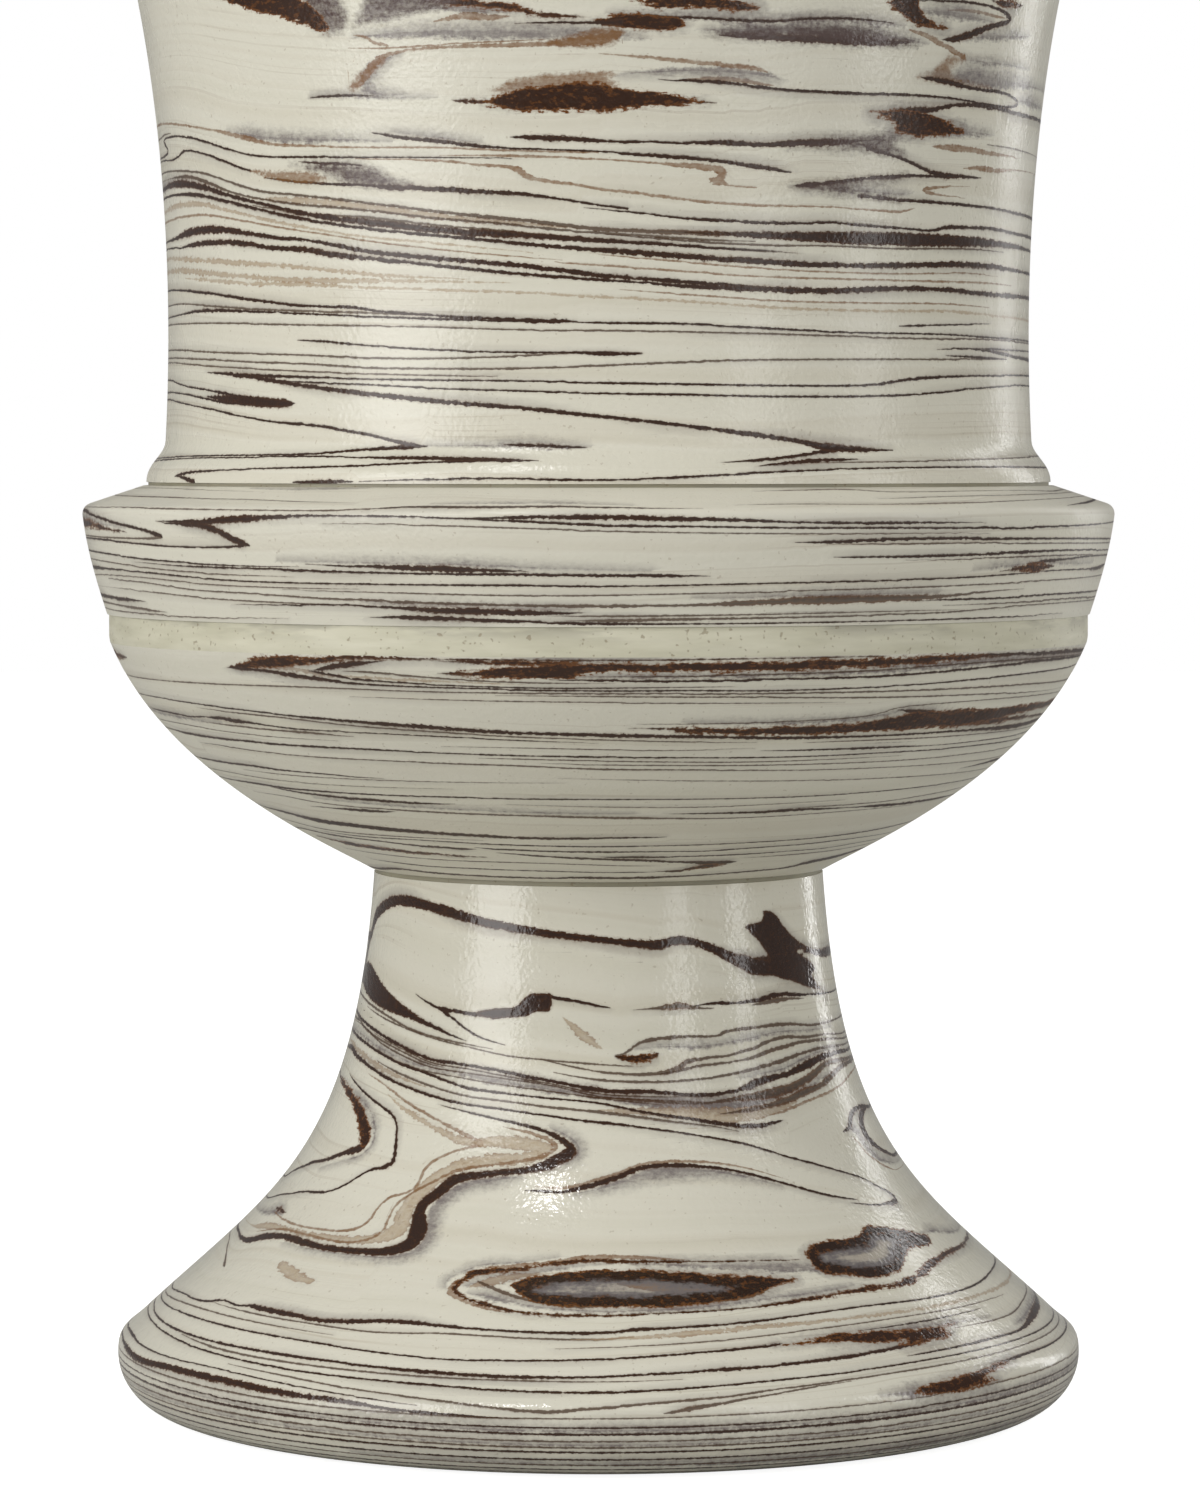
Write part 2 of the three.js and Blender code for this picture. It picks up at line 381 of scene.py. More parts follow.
def paint_vertices(piece, skin, field, bend, inner_turn):
    """Hands the skin's layers and the lie of the clay on to the vertices of the piece."""
    radii, heights, turned_to = places(piece)
    outside = radii > np.interp(heights, skin[:, 1], skin[:, 0]) - skin_tolerance
    outside &= heights > skin[0, 1] - level_tolerance
    outside &= heights < skin[-1, 1] + level_tolerance
    row = np.clip(np.searchsorted(skin[:, 1], heights - level_tolerance), 0, len(skin) - 1)
    if inner_turn is not None:
        # The veins go through the wall, and come out a little way round it on the inside
        deep = np.clip((skin[-1, 1] - heights) / inner_turn_depth, 0, 1)
        turned_to = np.where(outside, turned_to, turned_to + inner_turn * deep)
        outside |= heights > skin[0, 1] + inner_start
    column = np.round(turned_to * turns / 360).astype(int) % turns
    for layer in range(vein_layers):
        values = np.tile(np.array(bare, np.float32), (len(radii), 1))
        values[outside] = field[layer, row[outside], column[outside]]
        attribute = piece.data.attributes.new(f"vein_{layer}", "FLOAT_COLOR", "POINT")
        attribute.data.foreach_set("color", values.ravel())
    level = heights.copy()
    level[outside] -= bend[row[outside], column[outside]]
    strata = piece.data.attributes.new("strata", "FLOAT", "POINT")
    strata.data.foreach_set("value", level.astype(np.float32))


def lay_veins(piece, skin, veins, bleed=0.0, inner_turn=None, repeat_from=None):
    """Writes how far each point of the outer skin lies from the veins, in layers that never touch."""
    skin = skin[np.argsort(skin[:, 1])]
    rows = len(skin)
    climb = np.concatenate(([0], np.cumsum(np.hypot(*np.diff(skin, axis=0).T))))
    angles = np.arange(turns) * 360 / turns
    field = np.full((vein_layers, rows, turns, len(bare)), bare, np.float32)
    taken = np.zeros((vein_layers, rows, turns), bool)
    bent = np.zeros((rows, turns))
    weight = np.full((rows, turns), strata_rest)
    order = list(vein_kinds)
    runs = [run for vein in veins for run in closed_round(vein)]
    runs.sort(key=lambda run: order.index(run[0]))
    for kind, flipped, points, ring in runs:
        points = np.asarray(points, float)
        if ring:
            points = np.concatenate((points, points[:1] + (360, 0, 0)))
        points[:, 1] = np.interp(points[:, 1], skin[:, 1], climb)
        tone, soft = vein_kinds[kind]
        halo = halo_reach * (tone > dark_tone)
        if kind in patch_kinds:
            found = patch_distance(points, soft, halo, skin, climb, angles)
        else:
            line = smooth_run(points, vein_step)
            line[:, 2] = np.maximum(line[:, 2], 0) + bleed
            found = stroke_distance(line, soft, halo, ring, skin, climb, angles)
            if line[-1, 0] - line[0, 0] > strata_span:
                lift, pull = bend_of_clay(line, climb, angles)
                bent += lift
                weight += pull
        row, column, side, half, distance = found
        if flipped:
            side = -side
        spill = spill_margin + soft + halo * np.clip(half, 0, 1)
        away = np.clip((distance - half - spill) / spill_end, 0, 1)
        half = half - (half - bare[1]) * away
        # The vein goes into the layer where it meets the fewest points of others
        layer = int(taken[:, row, column].sum(axis=1).argmin())
        nearer = half - np.abs(side) > field[layer, row, column, 1] - np.abs(field[layer, row, column, 0])
        row, column, side, half = row[nearer], column[nearer], side[nearer], half[nearer]
        field[layer, row, column] = np.column_stack((side, half, np.tile((tone, soft), (len(row), 1))))
        taken[layer, row, column] = True
    if repeat_from is not None:
        # Towards the rim the pattern of the rows below comes again, further round
        first = np.searchsorted(skin[:, 1], repeat_from)
        below = slice(2 * first - rows, first)
        shift = round(turns * repeat_turn)
        field[:, first:] = np.roll(field[:, below], shift, axis=2)
        bent[first:] = np.roll(bent[below], shift, axis=1)
        weight[first:] = np.roll(weight[below], shift, axis=1)
    paint_vertices(piece, skin, field, bent / weight, inner_turn)


# The stain of each tone from its place on the scale up: colour and cover
stains = (
    (0.0, "#7d5833", 0.72),
    (0.25, "#ae997c", 0.62),
    (0.45, "#766d6b", 0.8),
    (0.55, "#54433f", 0.9),
    (0.7, "#3f2b1c", 0.86),
    (0.8, "#2c190c", 1.0),
    (0.9, "#331a08", 1.0),
    (0.98, "#35231a", 1.0),
)
# What the tones do at a vein's edge: rusty rim, streaks along the throwing, grey halo
edge_traits = (
    (0.0, (0.3, 0.2, 0.1), 1),
    (0.25, (0.7, 0.25, 0.12), 1),
    (0.45, (0, 0.6, 0), 1),
    (0.7, (0.55, 0, 0.4), 1),
    (0.8, (0.95, 0.8, 0.5), 1),
    (0.9, (0.95, 1, 0.6), 1),
    (0.98, (0.22, 0, 0.5), 1),
)
ivory = (
    (0.3, "#d9d5c4", 1),
    (0.5, "#dcd8c8", 1),
    (0.62, "#d8d3c2", 1),
    (0.75, "#d4cfbd", 1),
)
# Changes from a vein's edge outwards, in millimetres: from where, to where, first and last amount
rusty_span = (-0.6, -0.05, 0.0, 1.0)
fringe_span = (0.0, 0.45, 0.5, 0.0)
smoky_span = (-3.4, -2.0, 1.0, 0.0)
opened_span = (-4.8, -3.2, 0.7, 0.0)
# The grey halo starts within the edge. It is wider and darker on the side that the stain leans to
halo_start = -0.2
halo_least = 0.7
halo_swing = 2.0
grey_least = 0.2
grey_swing = 0.65
# A blot is told by its tone, and its hollow middle is more ragged than its edge
tone_tolerance = 0.02
hollow_ragged = 1.2
# Changes with a vein's half width: a thin vein is less ragged, rusty and stained round than a bold one
spread_by_half = (0.0, 0.6, 0.35, 1.9)
ragged_by_half = (0.0, 0.9, 0.2, 1.0)
rusty_by_half = (0.15, 0.8, 0.15, 1.0)
stained_by_half = (0.05, 0.6, 0.35, 1.0)
# Changes with a vein's softness, its tone and the side that its stain leans to
blur_by_softness = (0.4, 1.3, 0.1, 1.3)
loose_by_softness = (0.8, 1.2, 0.0, 1.0)
blur_by_lean = (-1.0, 1.0, 0.4, 1.7)
grainy_by_tone = (0.6, 0.75, 0.22, 0.0)
loose_course = 0.9
softest_spread = 0.36
# Where noise turns into a mark: from which value, to which, first and last amount
thread_band = (0.56, 0.68, 0.0, 1.0)
thread_patches = (0.45, 0.65, 0.02, 0.3)
grain_band = (0.7, 0.76, 0.0, 0.28)
drift_band = (0.36, 0.64, -1.0, 1.0)
speckle_band = (0.52, 0.68, 0.0, 0.55)
# How far slow waves move the threads, and grains and streaks a vein's edge, in millimetres
thread_wander = 7.0
grain_depth = 2.8
streak_depth = 2.2
rusty_rim = "#74461c"
rusty_fringe = "#7f562c"
grey_halo = "#6c6261"
smoky_middle = "#6f6968"
faint_thread = "#a3937b"
dark_grain = "#8a7558"
# The glaze, whose broad peel counts for more than its fine one
glaze_ior = 1.5
pool_span = (0.3, 0.7)
broad_peel = 1.2
peel_strength = 0.75
peel_depth = 0.12


def linear(code):
    """An sRGB hex colour as the linear values that the shaders take."""
    channels = [int(code[place:place + 2], 16) / 255 for place in (1, 3, 5)]
    return [*(c / 12.92 if c <= 0.04045 else ((c + 0.055) / 1.055) ** 2.4 for c in channels), 1]


def add(tree, kind, settings=None, **links):
    """Adds one node, sets its properties and inputs, and links the inputs that are given as sockets."""
    node = tree.nodes.new(kind)
    for name, value in (settings or {}).items():
        setattr(node, name, value)
    for name, value in links.items():
        key = int(name[1:]) if name[0] == "i" and name[1:].isdigit() else name.replace("_", " ")
        socket = node.inputs[key]
        if isinstance(value, bpy.types.NodeSocket):
            tree.links.new(value, socket)
        else:
            socket.default_value = value
    return node


def calc(tree, operation, first, second=0.0, third=0.0):
    """The result of a sum."""
    return add(tree, "ShaderNodeMath", {"operation": operation}, i0=first, i1=second, i2=third).outputs[0]


def times(tree, first, second):
    """The product of two values."""
    return calc(tree, "MULTIPLY", first, second)


def change(tree, value, low, high, first, last):
    """An even change from one number to another while the value rises from low to high."""
    return add(tree, "ShaderNodeMapRange", i0=value, i1=low, i2=high, i3=first, i4=last).outputs[0]


def fade(tree, value, low, high, first, last):
    """The same change, but with a smooth start and end."""
    return add(tree, "ShaderNodeMapRange", {"interpolation_type": "SMOOTHSTEP"},
               i0=value, i1=low, i2=high, i3=first, i4=last).outputs[0]


def laid_over(tree, amount, below, above, blend="MIX"):
    """One colour laid over another."""
    return add(tree, "ShaderNodeMix", {"data_type": "RGBA", "blend_type": blend},
               i0=amount, i6=below, i7=above).outputs[2]


def ramp(tree, fac, *stops, steps=False):
    """A colour ramp of (position, colour, opacity) stops."""
    node = add(tree, "ShaderNodeValToRGB", Fac=fac)
    node.color_ramp.interpolation = "CONSTANT" if steps else "LINEAR"
    elements = node.color_ramp.elements
    while len(elements) < len(stops):
        elements.new(0.5)
    for element, (position, colour, opacity) in zip(elements, stops):
        element.position = position
        element.color = (*(linear(colour)[:3] if isinstance(colour, str) else colour), opacity)
    return node.outputs


def vein_layer_group():
    """Lays the stain of one layer of veins over the colour beneath. Distances in it are millimetres."""
    group = bpy.data.node_groups.new("stained_vein", "ShaderNodeTree")
    for name in ("Clay", "Vein"):
        group.interface.new_socket(name, in_out="INPUT", socket_type="NodeSocketColor")
    for name in ("Softness", "Grain", "Streak", "Drift", "Speckle"):
        group.interface.new_socket(name, in_out="INPUT", socket_type="NodeSocketFloat")
    group.interface.new_socket("Clay", in_out="OUTPUT", socket_type="NodeSocketColor")
    given = group.nodes.new("NodeGroupInput").outputs
    result = group.nodes.new("NodeGroupOutput")
    offset, half, tone = add(group, "ShaderNodeSeparateColor", Color=given["Vein"]).outputs
    soft = given["Softness"]
    traits = ramp(group, tone, *edge_traits, steps=True)[0]
    rusts, streaks, halo = add(group, "ShaderNodeSeparateColor", Color=traits).outputs
    # The stain drifts to one side of a vein: there it fades out, on the other side it stops short
    loose = fade(group, soft, *loose_by_softness)
    course = add(group, "ShaderNodeMix", i0=loose, i2=given["Drift"], i3=loose_course).outputs[0]
    lean = times(group, calc(group, "SIGN", offset), course)
    spread = times(group, calc(group, "MINIMUM", soft, softest_spread), fade(group, half, *spread_by_half))
    edge = calc(group, "SUBTRACT", calc(group, "ABSOLUTE", offset), half)
    edge = calc(group, "MULTIPLY_ADD", given["Grain"], spread, edge)
    ragged = times(group, streaks, fade(group, half, *ragged_by_half))
    outside = calc(group, "MULTIPLY_ADD", given["Streak"], ragged, edge)
    blur = change(group, soft, *blur_by_softness)
    blur = times(group, blur, change(group, lean, *blur_by_lean))
    mask = fade(group, outside, times(group, blur, -1.0), blur, 1.0, 0.0)
    stain, opacity = ramp(group, tone, *stains, steps=True)
    # A pale or smoky stain is grainy all through
    grainy = change(group, tone, *grainy_by_tone)
    opacity = calc(group, "MULTIPLY_ADD", calc(group, "ADD", given["Grain"], given["Streak"]),
                   times(group, grainy, -1.0), opacity)
    rusty = calc(group, "MAXIMUM", fade(group, outside, *rusty_span), given["Speckle"])
    rim = times(group, rusty, rusts)
    rim = times(group, rim, fade(group, half, *rusty_by_half))
    colour = laid_over(group, rim, stain, linear(rusty_rim))
    # A hollow patch is smoky within its dark edge, and lets the ivory through in its middle
    hollow = calc(group, "COMPARE", tone, vein_kinds["blot"][0], tone_tolerance)
    depth = calc(group, "MULTIPLY_ADD", given["Streak"], hollow_ragged, edge)
    smoky = times(group, fade(group, depth, *smoky_span), hollow)
    colour = laid_over(group, smoky, colour, linear(smoky_middle))
    opened = times(group, fade(group, depth, *opened_span), hollow)
    # The iron bleeds out of a dark vein into a rusty fringe and a wider grey halo
    weight = times(group, fade(group, half, *stained_by_half), halo)
    away = calc(group, "MAXIMUM", lean, 0.0)
    reach = calc(group, "MULTIPLY_ADD", away, halo_swing, halo_least)
    grey = times(group, fade(group, outside, halo_start, reach, 1.0, 0.0), weight)
    grey = times(group, grey, calc(group, "MULTIPLY_ADD", away, grey_swing, grey_least))
    clay = laid_over(group, grey, given["Clay"], linear(grey_halo), "DARKEN")
    rust = times(group, fade(group, outside, *fringe_span), weight)
    clay = laid_over(group, rust, clay, linear(rusty_fringe), "DARKEN")
    cover = times(group, mask, calc(group, "SUBTRACT", opacity, opened))
    group.links.new(laid_over(group, cover, clay, colour), result.inputs[0])
    return group


def marbled_clay(name, roughness):
    """Marbled earthenware under a clear satin glaze: ivory clay, iron-brown veins, a faint orange peel."""
    material = bpy.data.materials.new(name)
    material.use_nodes = True
    tree = material.node_tree
    shader = tree.nodes["Principled BSDF"]
    where = add(tree, "ShaderNodeTexCoord").outputs["Object"]
    strata = add(tree, "ShaderNodeAttribute", {"attribute_name": "strata"}).outputs["Fac"]

    def clouds(size, detail=2.0, stretch=1.0, rough=0.5):
        """Noise of a size in millimetres, drawn out sideways by the stretch."""
        at = add(tree, "ShaderNodeMapping", i0=where, Scale=(1 / stretch, 1 / stretch, 1))
        return add(tree, "ShaderNodeTexNoise", Vector=at.outputs[0], Scale=1000 / size, Detail=detail,
                   Roughness=rough).outputs["Fac"]

    def layered(size, detail, rough):
        """Noise along the lie of the clay alone."""
        return add(tree, "ShaderNodeTexNoise", {"noise_dimensions": "1D"}, W=wander, Scale=1 / size,
                   Detail=detail, Roughness=rough).outputs["Fac"]

    # Faint threads follow the lie of the clay, 0.3 to 1 mm wide, and come and go round the vase
    wander = calc(tree, "MULTIPLY_ADD", clouds(40, detail=3.0, stretch=2.5), thread_wander, strata)
    clay = ramp(tree, layered(6, detail=2.0, rough=0.6), *ivory)[0]
    threads = fade(tree, layered(1.1, detail=3.0, rough=0.7), *thread_band)
    threads = times(tree, threads, fade(tree, clouds(34, stretch=2.0), *thread_patches))
    clay = laid_over(tree, threads, clay, linear(faint_thread))
    # Grains of dark body that show through the ivory, up to half a millimetre
    grains = fade(tree, clouds(0.9, detail=1.0), *grain_band)
    clay = laid_over(tree, grains, clay, linear(dark_grain))
    # The ragged edge of a vein: grains of 0.5 mm on a waver of 3 mm, and streaks along the throwing
    grain = calc(tree, "MULTIPLY_ADD", clouds(0.8, stretch=1.4, rough=0.7), grain_depth, -grain_depth / 2)
    grain = calc(tree, "ADD", grain, calc(tree, "SUBTRACT", clouds(3.2, stretch=1.5), 0.5))
    streak = clouds(0.9, detail=3.0, stretch=7.0, rough=0.7)
    streak = calc(tree, "MULTIPLY_ADD", streak, streak_depth, -streak_depth / 2)
    drift = fade(tree, clouds(36, detail=1.0, stretch=1.6), *drift_band)
    speckle = fade(tree, clouds(0.8, stretch=1.8, rough=0.7), *speckle_band)
    for layer in range(vein_layers):
        vein = add(tree, "ShaderNodeAttribute", {"attribute_name": f"vein_{layer}"}).outputs
        laid = tree.nodes.new("ShaderNodeGroup")
        laid.node_tree = stained_vein
        given = (clay, vein["Color"], vein["Alpha"], grain, streak, drift, speckle)
        for socket, value in zip(laid.inputs, given):
            tree.links.new(value, socket)
        clay = laid.outputs[0]
    tree.links.new(clay, shader.inputs["Base Color"])
    # The glaze pools a little, which varies its gloss, and its skin has a peel of 1 to 5 mm
    sheen = change(tree, clouds(18, detail=3.0), *pool_span, *roughness)
    tree.links.new(sheen, shader.inputs["Roughness"])
    shader.inputs["IOR"].default_value = glaze_ior
    peel = calc(tree, "MULTIPLY_ADD", clouds(5, detail=1.0), broad_peel, clouds(0.95, detail=1.0))
    bump = add(tree, "ShaderNodeBump", Height=peel, Strength=peel_strength, Distance=peel_depth * mm)
    tree.links.new(bump.outputs[0], shader.inputs["Normal"])
    return material


# The veins, read off the piece: kind and level, then points of angle, rise over the level and half
# width. A stroke's tip without a half width comes to a point, and any other point without one has
# that of the point before it. A patch has only its outline.
foot_veins = [
    # the loop of bold veins round the stem
    ("ink",98.4,(-79,-.2,.9),(-77.5,2,1.2),(-75,4.2,1.3),(-70,6,1.2),(-65,7.4,1.15),(-60,8.1,1.1),(-55,8.2),
     (-50,7.9,1),(-40,6.8),(-30,5.2,.9),(-20,4,.8),(-10,3,.7),(0,2.1,.62),(8,1.3,.75),(15,.9,.95),
     (18,1.6,.85),(21,1.7,.8),(25,.9),(30,-.7,.9),(35,-2.7,1.2),(40,-4,1.6),(45,-4.3,2),(48,-3.8,2.4)),
    ("ink",80.9,(-84,7.7,.6),(-82,8.7,1.8),(-78,9.1,2.8),(-72,7.9,2.9),(-66,6.4,2.4),(-60,5,1.8),
     (-55,4,1.25),(-50,3,.85),(-45,1.9,.5),(-40,.8,.3),(-35,-.5,.15),(-31,-1.3)),
    ("ink",90,(-83.5,.5,1.2),(-82.5,4,1.1),(-81,7,1),(-79,8.4,.9)),
    # the torn end of the loop at the right
    ("torn",91.1,(33,5.3),(36.7,5.7),(40,4.9),(44,4.3),(46.2,4),(44.5,6.2),(42.2,8.4),(40,9.9),(38.6,11.1),
     (40.5,11.6),(44,12),(45,12.7),(44.8,13.8),(46.3,14.1),(48.2,13.7),(50.2,12.6),(52.6,10.4),(55.8,8.4),
     (59,7),(62,5.9),(65,4.9),(63,4.3),(60,5.1),(58,5.6),(56.6,5.7),(57.7,4.8),(60,3.9),(62.5,3),(64.8,2),
     (66,.8),(64.6,.5),(63.3,.1),(64.2,-.9),(66.4,-2.3),(68.4,-3.3),(70.4,-4.5),(67.6,-3.6),(64.7,-3),
     (61,-2.5),(57.3,-1.6),(53.6,-.7),(50,0),(47,.7),(44.1,1),(41,1.2),(38.2,1.9),(35.4,3.4)),
    ("ink",94.1,(60,2.9,.6),(64,2,.5),(70,1,.7),(75,.8,.9),(80,.7,.95),(86,.6,.5)),
    # the broken vein in the middle of the stem
    ("ink",84.9,(-49,3.3),(-45,2,.16),(-41,1,.3),(-39,.7,.4),(-35,.5,.28),(-31,.2,.3),(-28,.2,.4),
     (-25,.4,.3)),
    ("torn",84,(-30,1.4),(-27.2,2),(-23.3,2.5),(-20,2.8),(-17.8,4.4),(-16.5,5.5),(-14,5.6),(-11.2,5.6),
     (-10.8,4),(-11.4,2.3),(-14.8,2),(-17.1,1),(-19.9,.8),(-25.5,.3),(-28.4,.8)),
    ("ink",87.2,(-13,2,.3),(-10,1.6,.28),(-5,1,.25),(0,.1,.2),(3,-.3)),
    ("ink",79,(-39,6.2,.3),(-36,5,.2),(-33,3.6),(-29,1.9),(-25,.9,.12),(-21,.2)),
    ("fine",86.3,(8,.2),(13,.4,.2),(16,.6,.5),(19,.8,.8),(21,.6,.5),(25,.1,.2),(28,0)),
    ("ink",87,(22,-.1),(28,.3,.25),(35,.1,.28),(42,.5,.4),(46,1),(50,1,.42),(55,.6,.28),(60,.3,.2),
     (75,-.3,.15),(86,-.4,.1)),
    ("fine",86,(38,.4),(42,.7,.3),(47,1,.5),(52,1,.3),(58,.6)),
    ("taupe",78.2,(-8.5,7),(-6,5.2,.5),(-4,3.6,.9),(-1.5,2,.7),(1,.6)),
    # the bundle that falls from the left and crosses the stem
    ("fine",78,(-84,8,.2),(-70,6.6),(-60,5.2),(-50,3.3),(-40,1.9,.18),(-30,.9,.14),(-24,.3)),
    ("ink",69.4,(-84,12.8,.3),(-70,11.2),(-60,9.7,.28),(-50,7.9,.34),(-45,6.9),(-40,6.1,.3),(-35,5.8),
     (-30,5.5,.26),(-20,4.5,.3),(-15,3.7),(-10,3),(-5,2.2),(0,1.4,.4),(5,1.1),(10,1),(15,.7,.34),(20,.1,.3),
     (25,0,.4),(29,.3,.35),(32,.6,.4),(35,1.4,.85),(38,2,.8),(42,2.5,.6),(46,2.8,.5),(50,3.6,.7),
     (55,4.3,.8),(60,5.1,.7),(65,5.3,.5),(70,5.3,.4),(80,5,.3)),
    ("fine",74.1,(-76,6.7,.2),(-70,5.5),(-60,4),(-50,2.3),(-42,.7,.14),(-36,0)),
    ("ink",63.1,(-84,15.1,.3),(-70,14,.28),(-60,12.6),(-50,10.9,.26),(-40,9.5),(-30,7.5),(-20,6.7,.22),
     (-10,6,.16),(0,5.2,.2),(10,3.3,.24),(20,1.7,.28),(30,0,.45),(36,-.2,.4),(40,.2,.2),(42,.4)),
    ("ink",64,(-84,10.8,.3),(-78,11,.45),(-75,10.6,.5),(-70,9.7,.4),(-65,9,.35),(-60,8.1,.3),(-50,6.3),
     (-45,5.5),(-40,4.7,.26),(-35,4),(-30,3.4,.22),(-20,2.7,.2),(-10,1.7,.18),(0,.6,.26),(5,.1),(10,-.6,.2),
     (20,-2.2),(30,-4.3),(35,-5.9),(40,-7.6,.22),(45,-9.1),(50,-10.7,.2),(58,-13.4,.22),(61,-15.1,.24),
     (64,-16.8,.34),(65.2,-18,.5)),
    ("fine",65,(-60,9),(-50,7.2,.18),(-40,5.5),(-30,4),(-20,3.3,.2),(-10,2.4),(0,1.6,.25),(8,.6),
     (16,-.6,.2),(24,-1.7,.12),(30,-3)),
    ("smoke",67.6,(-20,5.3),(-8,3.6,.3),(4,1.8,.7),(14,.8,1.3),(24,.1,1.6),(34,.2),(42,1,1),(50,1.6,.8),
     (60,3.2,.5),(66,4)),
    ("taupe",66,(0,1),(10,.6,.8),(20,0,1.3),(30,-.8,1.5),(40,-.2,.9),(48,.9)),
    ("fine",68.2,(-4,1.4),(6,.8,.25),(16,0,.3),(24,-.3,.25),(32,.2,.5),(37,.4,.9),(42,.8,1),(46,1.2,.9),
     (50,2,.8),(55,3.2),(60,4.6,.6),(65,5,.5),(75,4.7,.35),(86,4.4,.2)),
    ("fine",65,(26,.6),(32,.9,.3),(38,1.4,.5),(45,2.4,.7),(50,3.3,.8),(56,4,.5),(60,4.8,.6),(65,6),
     (70,6.9,.5),(80,7,.35)),
    ("rust",64.4,(36,0),(42,.7,.2),(47,1.6,.25),(52,2.3),(60,3.2),(66,4,.2),(75,5.4,.18),(84,6,.14)),
    ("ink",45.2,(50,1.6),(53,1,.12),(57,.3,.2),(60,.2,.28),(63,0,.5),(65.3,.4,.5)),
    ("ink",46.8,(-14,4.8),(-10,4.8,.24),(-7,4.6),(-3,5.5,.5),(0,6.3),(4,7.6),(8,9.1),(12,9.5,.42),
     (16,9.4,.38),(20,9,.36),(25,8.3,.26),(30,7),(35,5.4),(40,3.7),(45,2,.24),(50,.8,.2),(53,.2)),
    ("rust",52,(-12,.4),(-6,.3,.3),(-1,1.6),(4,3.1,.35),(8,4.5),(12,5,.3),(18,4.9,.26),(24,4.2,.2),
     (30,2.9,.15),(38,.2)),
    ("smoke",51,(36,.2),(30,1.9,.4),(25,3.2,.6),(20,3.9,1),(15,4.1,1.4),(10,3.7,1.5),(5,2.4,1.1),(0,1,.6),
     (-5,0)),
    # nested contours at the left
    ("spot",32,(-56.4,3.1),(-54,3),(-51.5,2.4),(-48.5,1.5),(-45.3,.8),(-46.2,.1),(-49,.2),(-52.5,.8),
     (-55.6,1.9)),
    ("ink",53,(-73,17.1),(-65,15.3,.18),(-57,13.4,.22),(-50,11.6,.24),(-47.5,10.6,.28),(-45.8,9,.3),
     (-44.8,6.7,.34),(-43.8,4.2,.42),(-43.4,2.6,.5),(-44.2,1.4),(-46.5,.7,.35),(-49,0,.25),(-51,-1.4,.22),
     (-53.5,-3.2,.24),(-57,-4.8,.26),(-61,-5.5,.24),(-66,-6,.22),(-71,-7.1,.2),(-76,-8),(-84,-9.8,.12)),
    ("lens",60.9,(-84,8.3,.2),(-80,7.6,.4),(-75,7,.6),(-70,6,.7),(-65,4.6,.9),(-62,3.4,1.1),(-59,2,1.3),
     (-57,.5,1.4),(-55.2,-1,1.5),(-54,-2.5),(-53.6,-3.3,1.3)),
    ("ink",50,(-52.9,7.9,.6),(-54.5,6.9,.9),(-57,6,.7),(-60,5.2,.5),(-63,4.1),(-67,3,.4),(-70,2.4,.36),
     (-75,.9,.3),(-80,-.7,.25),(-85,-2.5,.16)),
    ("smoke",57.6,(-66,9.2),(-60,8,.3),(-55,6,.4),(-52,3.2,.5),(-51,.6,.4),(-53,-2,.3),(-58,-3.6,.2),
     (-66,-6)),
    ("rust",41.4,(-62,29.7),(-55,28.4,.16),(-50,27,.24),(-45,25.4),(-40,23.9),(-35,22.4),(-30,20.9,.34),
     (-26.5,19.7),(-24.5,19,.36),(-23.8,18.5,.34),(-25.5,18,.3),(-29,17,.22),(-32.5,15.4,.26),
     (-34.8,13.4,.3),(-35.2,11.4,.34),(-35.4,9.8,.3),(-37,8.5,.24),(-40.5,7.2),(-42,5),(-42.2,3,.28),
     (-44,1.2,.3),(-48,.3,.24),(-54,0),(-60,-.1),(-67,.3,.2),(-72,.8)),
    ("taupe",38.2,(-52,29.7),(-44,26.8,.4),(-36,24.4,.5),(-28,22.1,.7),(-20,22.4,1.2),(-14,22,1.3),
     (-10,21.1,1),(-14,19.4,1.2),(-20,18.8,1.3),(-27,17.6,1.2),(-31.4,14.8,1.5),(-34.2,12,1.7),
     (-35.6,8.6,1.9),(-35.4,5),(-41,2.6,1),(-52,2,.7),(-62,2,.6),(-69,1.6,.7),(-74,.8,.5),(-79,.4)),
    ("ink",35.8,(-36,31.1),(-28,30,.16),(-20,28.8,.2),(-15,28,.3),(-10,26.7,.4),(-8,25.7,.5),
     (-6.2,24.6,.65),(-5.2,23.5,.85),(-5.6,22.8,1),(-7.5,22,1.1),(-9.5,20.8,1.15),(-12,20,.85),
     (-15,19.4,.65),(-20,18.8,.7),(-25,18,.9),(-28,17,1.1),(-29.6,15.4,1.3),(-31,13.8,1.2),(-32.6,12.2),
     (-32.6,10.6,1.4),(-31.8,8.8,1.8),(-31.2,7,2),(-31.6,5.3,1.8),(-33.4,4.1,1.4),(-36.4,3.3,1),(-40,3,.75),
     (-45,2.8,.65),(-50,2.8,.7),(-55,3,.8),(-60,3.2,.75),(-64,2.8,.8),(-68,2,1),(-70.5,1.1,.9),(-73,.6,.6),
     (-77,.5,.4),(-82,.9,.25)),
    ("rust",39.4,(-20,24),(-14,23,.3),(-10,21.8,.4),(-8.4,20.6),(-9.2,19.5),(-12.5,18.2,.35),(-17,17.3,.3),
     (-23,16.3),(-28,15.2),(-32,13),(-35.9,10.5),(-38.2,8),(-38.4,5.6),(-38.2,3.6),(-39.4,2),(-42,1),
     (-46,.5,.25),(-54,.7),(-62,.7),(-67,0,.2),(-72,-1.2)),
    ("smoke",37.2,(-14,17),(-19,16.1,.8),(-24,15,1.2),(-27.6,13,1.4),(-29.4,10.2,1.6),(-29.2,7.4),
